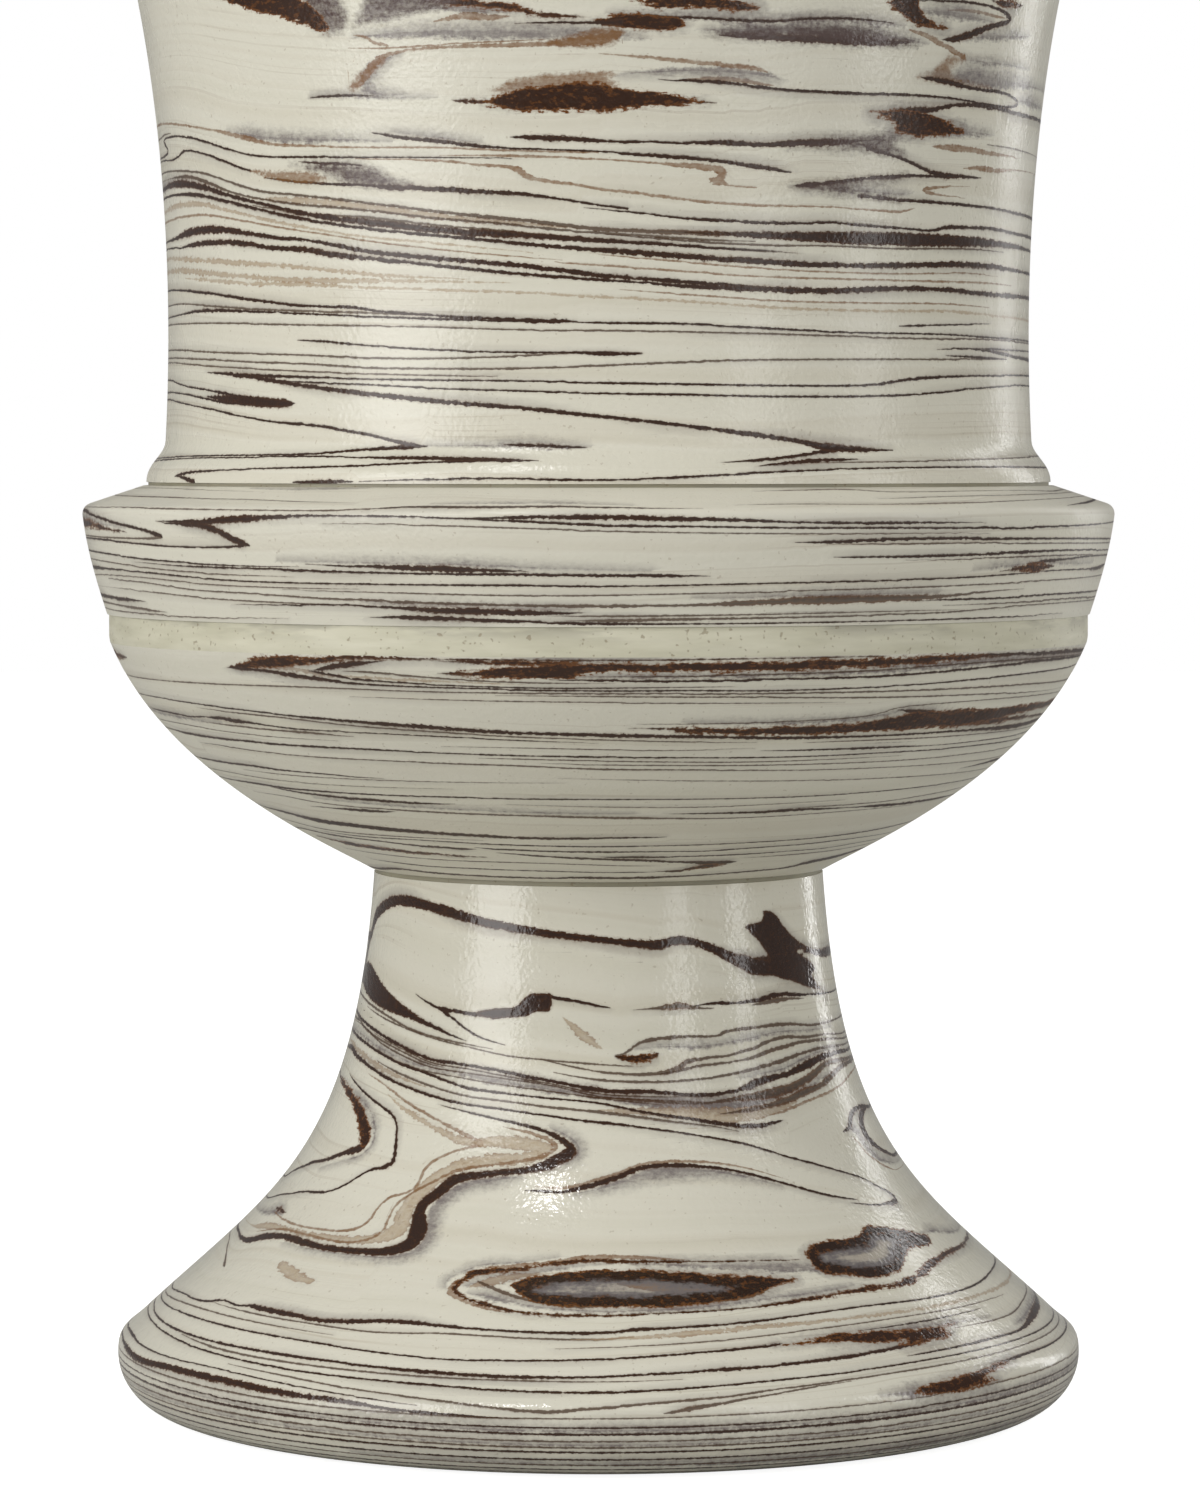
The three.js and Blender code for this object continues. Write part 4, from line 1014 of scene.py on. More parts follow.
# The veins, in the same way as the foot's
bowl_veins = [
    # under the slip: the patch and the long fold at the left
    ("lens",156,(-92,.6,.4),(-84,.7,.8),(-80,.6,.7),(-75,.5,.35),(-72.5,.4)),
    ("lens",155.6,(-47.5,.3),(-46,.4,.3),(-44.5,.6,.6),(-43,1,.9),(-41,1.6,1.2),(-38,1.8,1.1),(-35,2.1,.9),
     (-32,2.5,.7),(-30,2.8,.5),(-27,3,.4),(-24,3),(-20,2.9,.26),(-15,2.9,.2),(0,2.8,.16),(16,3,.14),
     (34,3.1,.12)),
    ("ink",152.5,(-47,3.4),(-45,3.3,.3),(-42,3.1),(-40,2.9,.4),(-38,2.5,.5),(-35,2),(-32,1.5,.4),
     (-30,1.1,.3),(-25,.7,.22),(-20,.5,.2),(-10,.2),(0,0),(10,0,.18),(20,-.2),(30,0),(40,.4),(50,1,.2),
     (60,1.5,.18),(70,1.8,.16),(80,2,.14)),
    ("ink",156,(-34.5,-.2),(-33,0,.2),(-32,.3,.4),(-30,.9,.6),(-28,1.3),(-26,1.7,.32),(-24,2)),
    ("ink",153,(-34.5,2.8),(-33,2.5,.28),(-31,2,.3),(-28,1.3),(-25,1,.22),(-20,.6,.18),(-15,.3,.16),(-5,0),
     (6,.1,.12),(16,.2)),
    ("fine",155,(-30,.9),(-27,.8,.2),(-24,.5,.22),(-20,0,.2),(-14,-.6,.16),(-6,-1,.14),(2,-1.1)),
    ("taupe",154,(-44,2.2),(-40,2.4,.4),(-36,2,.5),(-32,1,.4),(-26,.6,.3),(-18,.2,.2),(-8,-.4)),
    # the main band
    ("lens",155,(-18,.8),(-16,.7,.35),(-14,.7,.6),(-12,.8,.85),(-10,1,1.15),(-7,1.2,1.45),(-4,1.4,1.6),
     (-1,1.8,1.2),(2,2,1),(10,2),(20,2.1),(30,2.4,.9),(38,2.7,.8),(44,2.9,.6),(50,3,.35),(56,3.1)),
    ("lens",157.6,(-18,.6),(-15.5,.5,.26),(-13,.4,.36),(-10,.3,.6),(-6,.2,.7),(-2,0,.6)),
    ("ink",157.4,(36,.9),(44,.8,.25),(52,.8,.3),(60,.6,.4),(70,.5,.5),(80,.2,.4),(92,0,.25)),
    ("smoke",157,(28,0),(36,-.1,.6),(44,.2,1),(52,.4,1.1),(60,.4,1.15),(70,.3,1),(80,.1,.8),(92,0,.4)),
    ("smoke",155,(-4,.2),(4,.4,.5),(14,.5,.7),(24,.7),(34,.9,.5),(44,1.3,.3),(52,1.6)),
    ("ink",154.4,(-6,.2),(0,.1,.26),(10,0),(20,.1,.25),(30,.2),(35,.4,.26),(40,.7),(50,1.4),(55,1.7,.3),
     (60,2),(70,2.1,.28),(80,2,.2),(92,1.9,.12)),
    ("fine",156,(-2,-.7),(8,-.7,.16),(20,-.5,.18),(32,-.1),(42,.5),(52,.9,.2),(64,1),(76,.8,.14),(88,.8,.1)),
    # the thin lines below it
    ("fine",151.5,(-84,1,.1),(-72,.9,.14),(-50,.9,.16),(-40,1),(-30,.9),(-20,.6),(0,.4,.2),(20,.3),(40,.2),
     (60,.3),(70,.1,.18),(86,0,.16)),
    ("fine",150,(-12,1.5),(0,1.4,.16),(20,1,.18),(30,.6),(40,.4),(50,.3,.16),(60,.1,.14),(74,0)),
    ("fine",149.9,(-30,1),(-16,.6,.12),(0,.3,.14),(16,0,.12),(30,-.2)),
    # the pair that runs in from the left, and the great dark lens at the right
    ("ink",142.6,(-86,6,.1),(-70,6,.16),(-60,5.6,.18),(-50,4.9,.2),(-45,4.5),(-40,4,.26),(-35,3.6,.3),
     (-30,3.2,.4),(-25,2.8,.5),(-20,2.4),(-15,1.9),(-10,1.5,.42),(-5,1.3,.4),(0,1.1,.48),(5,.9,.5),
     (10,.8,.42),(20,.3,.4),(30,.1,.32),(40,.1,.26),(50,.3,.3),(57,.3,.4),(63,.2,.6),(70,.3),(80,.7,.5),
     (92,.7,.3)),
    ("fine",142,(-58,5.2),(-50,4.7,.18),(-40,4,.2),(-35,3.4,.18),(-30,2.9,.2),(-20,2.1),(-10,1.3,.18),
     (0,.8,.16),(10,.3,.14),(20,0)),
    ("smoke",144.6,(-84,.8,.2),(-78,.7,.4),(-70,.5,.55),(-65,.3,.6),(-60,0,.4),(-54,-.4)),
    ("ink",144.6,(-80,1.1),(-70,1,.25),(-62,.6,.2),(-57,.7,.24),(-54,.7,.4),(-52,.5,.5),(-50,.3),
     (-48,.2,.32),(-45,-.2,.2),(-40,-.7),(-30,-1,.16),(-20,-1.4),(-10,-2,.14),(0,-2.5)),
    ("fine",142.9,(-60,1.4),(-52,1,.2),(-45,.6,.22),(-38,.3,.3),(-34,0,.16),(-31,-.1)),
    ("lens",144.1,(3,1),(7,.9,.22),(10,.7,.5),(15,.3,.8),(20,.1,1),(25,.1,1.1),(30,.2,1.15),(34,.5,1.3),
     (37,.9,1.7),(40,1.3,2.15),(45,1.5,2.2),(50,1.5,2.1),(55,1.6,1.8),(60,2,1.4),(65,2.4,1.1),(72,2.7,.9),
     (80,2.8,.8),(92,2.8,.4)),
    ("ink",147,(37.5,.8),(39,.7,.25),(41,.4,.6),(44,0,.9)),
    ("lens",144,(48,.6,.8),(54,.5,.9),(60,.6,.8),(65,.7,.5),(70,.6,.4),(80,.4,.26),(92,.2,.14)),
    ("smoke",146,(10,.2),(18,0,.4),(28,.1,.5),(36,1,.3),(40,2.3)),
    ("fine",146,(4,-.1),(14,-.1,.14),(26,.2),(34,.9),(38,2.3,.12),(50,3),(66,3.2),(84,3,.1)),
    # thin lines across the belly
    ("ink",138.5,(-84,3.1,.14),(-75,3.1,.16),(-70,2.9,.3),(-65,2.7,.35),(-60,2.5,.32),(-50,2.2,.3),(-45,2),
     (-40,1.9),(-30,1.7,.26),(-25,1.5,.2),(-10,1),(0,.8,.24),(10,.6,.2),(20,.4,.18),(30,.4,.16),(40,.6),
     (50,.7),(60,.9),(75,1,.14),(88,1,.12)),
    ("fine",136,(-66,3.5),(-60,3.4,.14),(-50,2.7,.16),(-40,2.2),(-30,2),(-20,1.7,.2),(-10,1.4),(0,.8,.24),
     (10,.6,.2),(20,.3,.18),(30,0,.14),(60,-.1,.12),(84,-.1,.1)),
    ("fine",138,(-16,.9),(-10,.8,.14),(0,.5,.16),(10,.2),(20,0,.14),(30,.1,.12),(44,.3)),
    ("fine",137,(-8,1),(0,.7,.14),(10,.5,.16),(20,.3),(35,.2,.14),(50,.4),(60,.7),(80,.9,.12)),
    ("ink",140.2,(20,.1),(25,0,.16),(31,0,.24),(37,0,.3),(42,0,.2),(48,-.1,.1),(60,.2,.14),(80,.6,.14)),
    ("fine",141,(26,.7),(32,.8,.14),(44,.8,.16),(58,.9,.14),(76,1,.1)),
    ("fine",142,(-80,1.4,.1),(-66,1.3,.12),(-56,.6),(-44,0,.1),(-34,-.2)),
    ("fine",140,(-20,1.2),(-6,1,.12),(8,.6),(20,.8)),
    ("ink",134.7,(-84,1,.14),(-75,1,.22),(-70,1,.3),(-60,.8,.32),(-55,.7,.35),(-50,.3,.26),(-45,.1,.18),
     (-40,-.1,.2),(-35,-.4,.14),(-30,-.5)),
    ("fine",133.8,(-60,.6),(-50,.2,.14),(-38,0,.12),(-20,0,.1),(-4,.1)),
    ("ink",130.4,(-88,1,.12),(-78,1.1,.18),(-70,1.1,.24),(-60,1,.35),(-55,.7,.32),(-50,.5,.3),(-40,.3,.26),
     (-30,.2,.22),(-20,.2,.24),(-10,.1,.22),(0,.1,.2),(15,0,.16),(30,0),(40,.2),(50,.5),(60,.8,.15),
     (70,1,.14),(86,1,.12)),
    ("ink",129.2,(-57,1.7),(-53,1.3,.24),(-50,1,.3),(-45,.7,.4),(-40,.4,.42),(-35,.2,.5),(-30,0,.4),
     (-25,-.1,.22),(-21,0)),
    ("fine",126.4,(-66,3),(-55,2.6,.15),(-50,2,.16),(-45,1.6,.18),(-40,1.3,.16),(-35,1.2,.2),(-30,1,.28),
     (-20,.7,.3),(-10,.5,.32),(0,.2,.4),(5,.1),(10,0,.32),(16,-.2,.2),(24,-.2,.15),(32,0,.14),(46,.4,.12),
     (60,.6)),
    ("ink",127,(-52,.2),(-48,.2,.16),(-45,.1,.22),(-42,.1,.4),(-38,0,.5),(-35,0,.3),(-32.5,.1)),
    ("ink",127.3,(10,0),(15,0,.2),(20,0,.3),(25,0,.4),(30,.2,.5),(34,.3,.42),(38,.2,.24),(44,.2,.22),
     (48,.2,.45),(54,.2,.5),(60,.3,.42),(65,.4,.4),(70,.5,.32),(78,.5,.18),(90,.5,.12)),
    ("fine",128,(30,-.1),(36,.1,.16),(44,.2,.18),(50,.4,.16),(60,1),(70,1.4,.14),(82,1.5,.1)),
    ("ink",134,(61,.5),(65,.7,.16),(70,1,.3),(75,1.2,.48),(80,1,.3),(88,.8,.12)),
    ("smoke",128,(-48,1.2),(-40,.9,.3),(-30,.4,.4),(-18,0,.3),(-6,-.4),(6,-.6)),
    ("fine",128.3,(-14,1),(0,.6,.12),(16,.4,.14),(28,.7,.1),(40,1)),
    ("fine",132.3,(-80,1,.1),(-66,1,.14),(-52,.3,.12),(-38,0,.1),(-20,.1)),
    ("fine",133.4,(-6,1.5),(12,.9,.12),(30,.4),(46,.2,.14),(62,.1,.12),(80,0,.1)),
    # the dark lines near the stem
    ("ink",122.1,(-84,3.6,.12),(-78,3.6,.16),(-70,3.3,.3),(-65,3,.5),(-60,2.4,.62),(-55,1.8,.9),(-50,1.5),
     (-45,1.3),(-40,1,.82),(-35,.8,.8),(-30,.6,.7),(-25,.4,.62),(-20,.2,.6),(-15,0,.5),(-10,-.1),
     (-5,-.1,.4),(0,0,.36),(5,.1,.3),(9,.1,.22),(12,.2)),
    ("fine",121,(-80,2.2,.1),(-68,1.7,.14),(-60,1,.2),(-50,.6),(-40,.5),(-30,.4,.15),(-20,.3)),
    ("ink",120.2,(-60,1.1),(-50,.8,.18),(-45,.7,.22),(-35,.7,.2),(-30,.6,.22),(-20,.3),(-10,.1,.25),
     (0,0,.26),(10,.1,.22),(20,.2,.2),(30,.4,.18),(40,.6,.2),(50,1,.26),(60,1.5),(70,2,.22),(84,2.2,.15)),
    ("ink",120,(-84,.9,.12),(-75,1,.18),(-70,1.2,.26),(-65,1,.32),(-60,.7,.36),(-55,.5,.32),(-50,.3,.22),
     (-45,.1,.26),(-40,-.2,.3),(-35,-.5,.4),(-30,-.6,.5),(-26,-.8,.42),(-23,-.7)),
    ("ink",119,(-24,.7),(-20,.4,.26),(-15,.3,.3),(-10,.1),(0,0,.36),(6,0,.28),(12,0,.2),(20,-.1,.22),
     (25,.1,.26),(30,.3,.22),(38,.5,.2),(43,.6,.22),(50,.9,.18),(60,1.1,.16),(74,1.2,.1)),
    ("lens",117.5,(-69,2.2),(-66,2.1,.25),(-62,1.8,.5),(-60,1.5,.75),(-57,1.3,.9),(-50,.9,.82),(-45,.7,.7),
     (-40,.4,.62),(-35,.3,.5),(-30,.1,.4),(-25,0,.3),(-22,0)),
    ("ink",116.2,(-20,2.4),(-17,2.2,.22),(-13,1.9,.3),(-8,1.6,.36),(-4,1.4,.4),(0,1.2,.42),(5,1,.5),(10,.8),
     (15,.4,.42),(18,.3),(21,.1,.7),(24,-.1,1),(27,0,.8),(29,0,.3),(30,0)),
    ("lens",114.4,(12,0),(15,0,.24),(18,.1,.42),(21,.7,.8),(24,1,1),(27,1.2,.7),(28.5,1.3)),
    ("ink",117.8,(0,.1),(3,0,.3),(8,0,.45),(12,-.1,.35),(16,0,.22),(20,0,.26),(30,.1,.22),(40,.3,.16),
     (50,.4,.18),(60,.9,.16),(74,1.1,.12)),
    ("fine",117,(30,0),(42,.2,.2),(54,.4),(66,.8,.15),(80,1,.1)),
    ("fine",115.4,(-64,2),(-54,1.6,.16),(-42,1.2,.2),(-30,1),(-18,1),(-6,.8),(6,.4,.14),(12,.3)),
    ("ink",114.3,(-60,1),(-50,.7,.22),(-40,.4),(-30,.4),(-20,.3),(-10,.2),(0,0),(8,0,.2),(13,0)),
    ("ink",112.6,(-84,0,.2),(-76,0,.35),(-70,.1,.42),(-65,.2,.5),(-60,.5),(-55,.8),(-50,.8,.42),(-45,.6),
     (-40,.5),(-30,.4,.34),(-20,.3),(-10,.3),(-5,.5,.42),(0,.4,.5),(10,.4),(20,.6,.32),(30,.9),(40,1.2),
     (45,1.3),(49,1.6,.5),(52,2.2,.8),(56,2.5,.9),(60,2.8),(65,3.2),(70,3.8,.8),(77,4,.4),(86,4,.2)),
]

seam_level = bowl_seat_level + lower_bowl_height
floor_level = bowl_seat_level + bowl_floor_thickness
ring_bottom = bowl_seat_level - register_depth
foot_ring_radius = socket_radius - joint_clearance
foot_ring_inner = foot_ring_radius - foot_ring_width
rim_inner = seam_radius - bowl_wall
tongue_radius = rim_inner + tongue_width
bowl_skin = curve((stem_radius + bowl_ledge, bowl_seat_level), bowl_foot_angle, bowl_foot_pull,
                  (seam_radius, seam_level), seam_angle, seam_pull)
well = curve((rim_inner, seam_level), seam_angle + 180, bowl_well_pull,
             (bowl_floor_radius, floor_level), 180, bowl_floor_pull, hidden_spacing)
bowl = turned("bowl_of_marbled_clay", [
    (0, bowl_seat_level), (foot_ring_inner, bowl_seat_level), (foot_ring_inner, ring_bottom),
    (foot_ring_radius, ring_bottom), (foot_ring_radius, bowl_seat_level), *bowl_skin,
    (tongue_radius, seam_level), (tongue_radius, seam_level + tongue_height),
    (rim_inner, seam_level + tongue_height), *well, (0, floor_level),
])
lay_veins(bowl, bowl_skin, bowl_veins, inner_turn=inner_turn)
bowl.data.materials.append(marbled_clay("marbled_earthenware_satin_glaze_bowl", bowl_roughness))
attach(bowl, "root")
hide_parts("lower_bowl")

# Bowl seam slip: a flat bed between the two rims, and the skin that the maker's finger drew over
# the joint outside. It stands 0.2 mm proud, and is plain clay of a yellower grey than the body.
seam_slip_thickness = 1.2
seam_band_height = 5.4
seam_band_thickness = 1.4
seam_band_proud = 0.2
seam_band_close = 0.9
shoulder_seat_level = seam_level + seam_slip_thickness
seam_band_level = seam_level + seam_band_height
groove_radius = tongue_radius + joint_clearance
band_outer = seam_radius + seam_band_proud
band_inner = band_outer - seam_band_thickness
# The skin fills nearly all of the clearance above it, so that no dark line shows there
band_top = seam_band_level + joint_clearance * seam_band_close
band_face = even([(band_outer, shoulder_seat_level), (band_outer, band_top)], skin_spacing)
seam_slip = turned("slip_round_the_seam", [
    (groove_radius, seam_level), (seam_radius, seam_level), *band_face,
    (band_inner, band_top), (band_inner, shoulder_seat_level), (groove_radius, shoulder_seat_level),
])
seam_slip.data.materials.append(dried_slip("plain_clay_slip", "#c6c2aa", "#d6d2bc"))
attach(seam_slip, "root")
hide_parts("bowl_seam_slip")

# Shoulder ring: the upper bowl with its sharp shoulder and sloping top, marbled earthenware, cut
# open to take the neck. Its lower edge is stepped for the bowl's tongue and the slip's skin.
shoulder_height = 31.1
shoulder_radius = 107
shoulder_ledge = 0.6
shoulder_side_angle = 72
shoulder_side_pull = 8
shoulder_rim_angle = 83
shoulder_rim_pull = 7
shoulder_edge_round = 1.8
shoulder_top_slope = math.tan(math.radians(18.4))
shoulder_wall = 7.5
shoulder_roof_thickness = 7
shoulder_fillet = 6
corner_samples = 9
neck_seat_width = 7.5
neck_radius = 89.8
neck_wall = 6.5
neck_register_width = 3.2
shoulder_roughness = (0.28, 0.42)

# The veins, in the same way as the foot's
shoulder_veins = [
    # the sloping top
    ("fine",188.4,(-88,1,.1),(-78,.9,.2),(-60,.8,.28),(-50,.6,.25),(-42,.5,.22),(-35,.2,.18),(-27,0)),
    ("smoke",191,(-46,0),(-40,-.1,.3),(-34,0,.4),(-28,.1)),
    ("fine",190,(-80,.8,.14),(-66,.9,.15),(-56,.7,.14),(-44,.4)),
    ("fine",190,(18,.6),(24,.8,.3),(30,.9),(36,.4,.22),(50,.5,.16),(62,.5,.14),(70,.3,.28),(80,.5,.16)),
    ("fine",189,(32,.1),(38,.3,.2),(45,.5,.18),(60,.7,.16),(84,1,.12)),
    ("fine",188.1,(14,-.1),(20,.1,.2),(30,0,.18),(36,0,.3),(40,.1,.4),(46,.2,.3),(55,.5,.18),(75,1,.14),
     (88,1.1,.1)),
    ("ink",187.5,(62,0),(67,.3,.3),(71,.5,.4),(77,.8,.35),(84,1,.3),(92,.9,.15)),
    ("fine",187,(-76,0,.1),(-65,.1,.15),(-60,.1,.2),(-50,0),(-40,-.1,.16),(-30,-.1,.2),(-24,.3,.22)),
    ("ink",186.7,(-25,.5),(-22,.8,.28),(-20,1,.38),(-15,1,.58),(-10,1,.6),(-5,1.1,.58),(-1,1,.42),(5,.8,.2),
     (11,.7)),
    ("smoke",188,(-18,.2),(-12,.4,.4),(-4,.5),(4,0)),
    # the fold at the left: its outer and inner lines and the lens between
    ("ink",181.2,(-90,5,.3),(-79,5,.4),(-75,4.4,.32),(-70,3.7,.3),(-65,2.8),(-60,2),(-57,1.3,.34),
     (-55,.7,.5),(-54,.3,.4)),
    ("fine",181,(-53.8,.4,.3),(-56,.1,.22),(-60,0,.18),(-70,0,.16),(-78,.1),(-90,.2,.12)),
    ("lens",183,(-90,.9,.5),(-84,.8,.8),(-79,.7,.9),(-75,.6,.8),(-72,.2,.6),(-69,-.2,.42),(-65,-.6,.3),
     (-61.5,-.7)),
    ("smoke",184,(-88,.9),(-78,.7,.5),(-70,-.2,.3),(-62,-1)),
    ("ink",180,(-55,4.4),(-53,4.3,.15),(-49,4,.42),(-46,3.6,.62),(-44,2.7,.65),(-42.4,1.5,.7),(-41,.7,.8),
     (-40,.1,.6),(-39.4,-.1)),
    ("ink",180,(-40,0,.4),(-43,-.3,.24),(-50,-.5,.2),(-60,0),(-70,.5),(-82,.6,.16),(-92,.6,.1)),
    ("ink",183.5,(-55,1),(-51,1,.25),(-47,1,.45),(-43,1.4,.7),(-40,1.7,.72),(-37,1.9,.5),(-33,2.3,.3),
     (-28,2.4,.24),(-20,2.3,.2),(-10,1.7,.22),(0,.8,.28),(10,.5,.2),(20,.2),(30,.1,.24),(40,-.1,.22),
     (50,-.2,.24),(60,-.1,.2),(70,.1,.16),(84,.4,.13)),
    ("ink",184.8,(-14,.8),(-10,.9,.25),(-5,1,.38),(0,1,.5),(5,.8),(10,.6,.42),(15,.4,.3),(20,0,.22),
     (30,-.3,.3),(38,-.3,.2),(45,-.5)),
    ("fine",182.3,(-30,2.1),(-20,2,.14),(-10,1.5,.16),(2,.8),(14,.4,.14),(30,.1,.12),(46,0)),
    # the pair of lines through the middle
    ("ink",176,(-88,2,.14),(-80,2,.2),(-70,1.7),(-60,1),(-50,.4,.18),(-44,.1,.16),(-38,0,.1),(-33,.1)),
    ("ink",174.6,(-62,1.8),(-52,1.2,.14),(-45,1,.22),(-38,.9),(-30,.6,.28),(-22,.4,.2),(-15,.3,.28),
     (-10,.3,.3),(-5,.2),(0,.1),(8,0,.28),(12,-.1)),
    ("ink",175.4,(-33,1.1),(-29,1,.16),(-25,.9,.3),(-20,.6,.5),(-15,.4,.6),(-11,.2,.35),(-7,0)),
    ("smoke",176.1,(-36,1.1),(-26,1,.3),(-14,.7,.4),(-4,0,.2),(6,-.5)),
    ("ink",172.6,(-90,2,.3),(-79,2,.4),(-75,2,.32),(-68,1.9,.2),(-60,1.7,.18),(-50,1),(-40,.4,.16),
     (-20,.2,.2),(-10,.2,.22),(0,0,.18),(15,.4,.16),(30,.8,.2),(40,1,.18),(50,1.5,.16),(60,2,.14),
     (70,1.9,.2),(74,1.9,.4),(78,2.2),(82,2.5,.15),(92,2.4,.1)),
    ("fine",169,(-72,3.6,.1),(-60,3.2,.16),(-50,2.1),(-40,1.6),(-30,.9,.22),(-25,.7,.26),(-20,.4,.3),
     (-10,0,.24),(0,-.2,.34),(6,-.1,.25),(10,0,.26),(15,.3,.5),(18,.5,.62),(22,.7,.8),(27,.8,.82),
     (32,.9,.72),(38,1,.5),(42,1.3,.32),(48,1.9,.16),(54,2.2)),
    ("fine",168.4,(-74,2.4),(-60,2,.14),(-46,1,.16),(-34,.5,.14),(-24,.2)),
    ("fine",171,(-36,.6),(-22,.2,.14),(-6,-.2,.16),(10,.2,.14),(26,.7),(40,1.1,.16),(56,1.6,.14),
     (72,1.9,.12),(86,2,.1)),
    ("smoke",170,(10,.3),(20,.7,.4),(30,.9),(40,1)),
    ("ink",169,(36,.3),(42,.5,.2),(50,.5),(60,.8),(70,.8),(84,.7,.14)),
    ("fine",168,(40,.3),(52,.5,.16),(64,.7,.18),(78,.6,.2),(90,.5,.14)),
    # the lines at the right
    ("ink",180.4,(20,.5),(23,.5,.18),(26,.6,.3),(30,.9,.32),(35,1,.34),(40,1,.32),(50,.8,.26),(60,.6,.2),
     (70,.3),(84,-.1,.16)),
    ("fine",179.6,(24,.9),(32,.8,.16),(44,.8),(58,.5,.14),(76,.1,.12),(90,0,.1)),
    ("ink",178,(25,0),(28,0,.18),(34,0,.24),(40,.1,.3),(50,.4),(60,.6,.22),(75,.3,.16),(88,0,.12)),
    ("fine",177,(34,.3),(46,.4,.14),(60,.6),(80,.2,.1)),
    ("lens",174.5,(48.5,.3),(50.5,.5,.25),(52.5,.8,.55),(54.5,1,.9),(56.5,.9,.8),(58,1,.4),(60,1)),
    ("ink",176.2,(53,0),(55,.1,.28),(58,.4,.32),(62,.6,.24),(70,1,.16),(84,.8,.1)),
    ("smoke",175,(44,.2),(49,.9,.5),(56,1.4),(64,1,.3),(72,.8)),
    # the low lines above the slip
    ("ink",168,(-88,.8,.3),(-79,.8,.4),(-75,.7),(-70,.6),(-65,.5,.3),(-61,.4)),
    ("fine",166.5,(-86,1,.18),(-79,1,.25),(-70,.7,.2),(-65,.4,.3),(-60,.1,.24),(-56.5,-.1)),
    ("ink",167.7,(-44,.8),(-36,.9,.14),(-28,1,.2),(-22,.6,.3),(-18,.2,.6),(-12,0,.62),(-5,-.2,.4),(-1,-.1)),
    ("smoke",168.2,(-26,1),(-18,.6,.4),(-10,.2),(-2,0)),
    ("ink",165.4,(-26,1),(-22,1.1,.3),(-19,1,.48),(-15,.8,.4),(-8,.4,.3),(0,.1),(6,0,.2),(15,0,.16),(30,.1),
     (50,.3,.15),(66,.4)),
    ("fine",166.9,(-6,0),(2,0,.22),(10,.1,.18),(22,.3,.14),(34,.5,.1),(44,.5)),
    ("fine",166,(-4,0),(2,.1,.3),(10,.3,.28),(20,.5,.2),(30,.7,.18),(40,.9,.16),(52,1.7,.14),(66,2,.12),
     (84,1.9,.1)),
    ("fine",165,(-84,1.2,.1),(-72,1,.14),(-60,.8),(-48,.7,.12),(-36,.9)),
    ("fine",174,(-84,2.4,.1),(-70,2,.14),(-56,1),(-44,.3),(-34,.1)),
    ("fine",171.9,(-84,1,.1),(-70,1.5,.12),(-58,1.2),(-46,.3,.14),(-34,0,.1),(-26,0)),
]

shoulder_top_level = shoulder_seat_level + shoulder_height
neck_inner = neck_radius - neck_wall
register_radius = neck_inner + neck_register_width
shoulder_opening = register_radius + joint_clearance
shoulder_top_radius = shoulder_opening + neck_seat_width
skin_step = seam_radius + seam_band_proud - seam_band_thickness - joint_clearance
skin_step_level = seam_band_level + joint_clearance


def top_height(radius):
    """The level of the sloping top at a radius."""
    return shoulder_top_level - (radius - shoulder_top_radius) * shoulder_top_slope


def roof_height(radius):
    """The level of the underside of that top."""
    return top_height(radius) - shoulder_roof_thickness


def rounded(start, corner, end):
    """A corner eased by a curve that is pulled to it."""
    t = np.linspace(0, 1, corner_samples)[:, None]
    start, corner, end = (np.array(place, float) for place in (start, corner, end))
    return start * (1 - t) ** 2 + 2 * corner * t * (1 - t) + end * t ** 2


rim_level = top_height(shoulder_radius)
edge_inward = shoulder_radius - shoulder_edge_round
side = curve((seam_radius + shoulder_ledge, skin_step_level), shoulder_side_angle, shoulder_side_pull,
             (shoulder_radius, rim_level - shoulder_edge_round), shoulder_rim_angle, shoulder_rim_pull)
edge = rounded(side[-1], (shoulder_radius, rim_level), (edge_inward, top_height(edge_inward)))
slope = even([edge[-1], (shoulder_top_radius, shoulder_top_level)], skin_spacing)
shoulder_skin = np.concatenate((side, edge[1:], slope[1:]))
cavity_radius = shoulder_radius - shoulder_wall
cavity_level = roof_height(cavity_radius)
fillet_end = cavity_radius - shoulder_fillet
fillet = rounded((fillet_end, roof_height(fillet_end)), (cavity_radius, cavity_level),
                 (cavity_radius, cavity_level - shoulder_fillet))
groove_top = seam_level + tongue_height + joint_clearance
shoulder = turned("shoulder_of_marbled_clay", [
    (groove_radius, shoulder_seat_level), (skin_step, shoulder_seat_level), (skin_step, skin_step_level),
    *shoulder_skin, (shoulder_opening, shoulder_top_level),
    (shoulder_opening, roof_height(shoulder_top_radius)), *fillet,
    (rim_inner, groove_top), (groove_radius, groove_top),
])
lay_veins(shoulder, shoulder_skin, shoulder_veins)
shoulder.data.materials.append(marbled_clay("marbled_earthenware_satin_glaze_shoulder", shoulder_roughness))
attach(shoulder, "root")
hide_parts("shoulder_ring")

# Neck joint slip: the bed of plain slip between the shoulder and the neck, wiped back under the
# neck's edge so that it shows only as a dark line. It shares the foot joint's slip, whose dark colour is
# painted shade.
neck_slip_thickness = 0.7
neck_slip_recess = 0.4
ogee_radius = 93.8
neck_seat_level = shoulder_top_level + neck_slip_thickness
neck_slip_outer = ogee_radius - neck_slip_recess
neck_slip = turned("slip_under_the_neck", [
    (shoulder_opening, shoulder_top_level), (neck_slip_outer, shoulder_top_level),
    (neck_slip_outer, neck_seat_level), (shoulder_opening, neck_seat_level),
])
neck_slip.data.materials.append(joint_slip)
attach(neck_slip, "root")
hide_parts("neck_joint_slip")

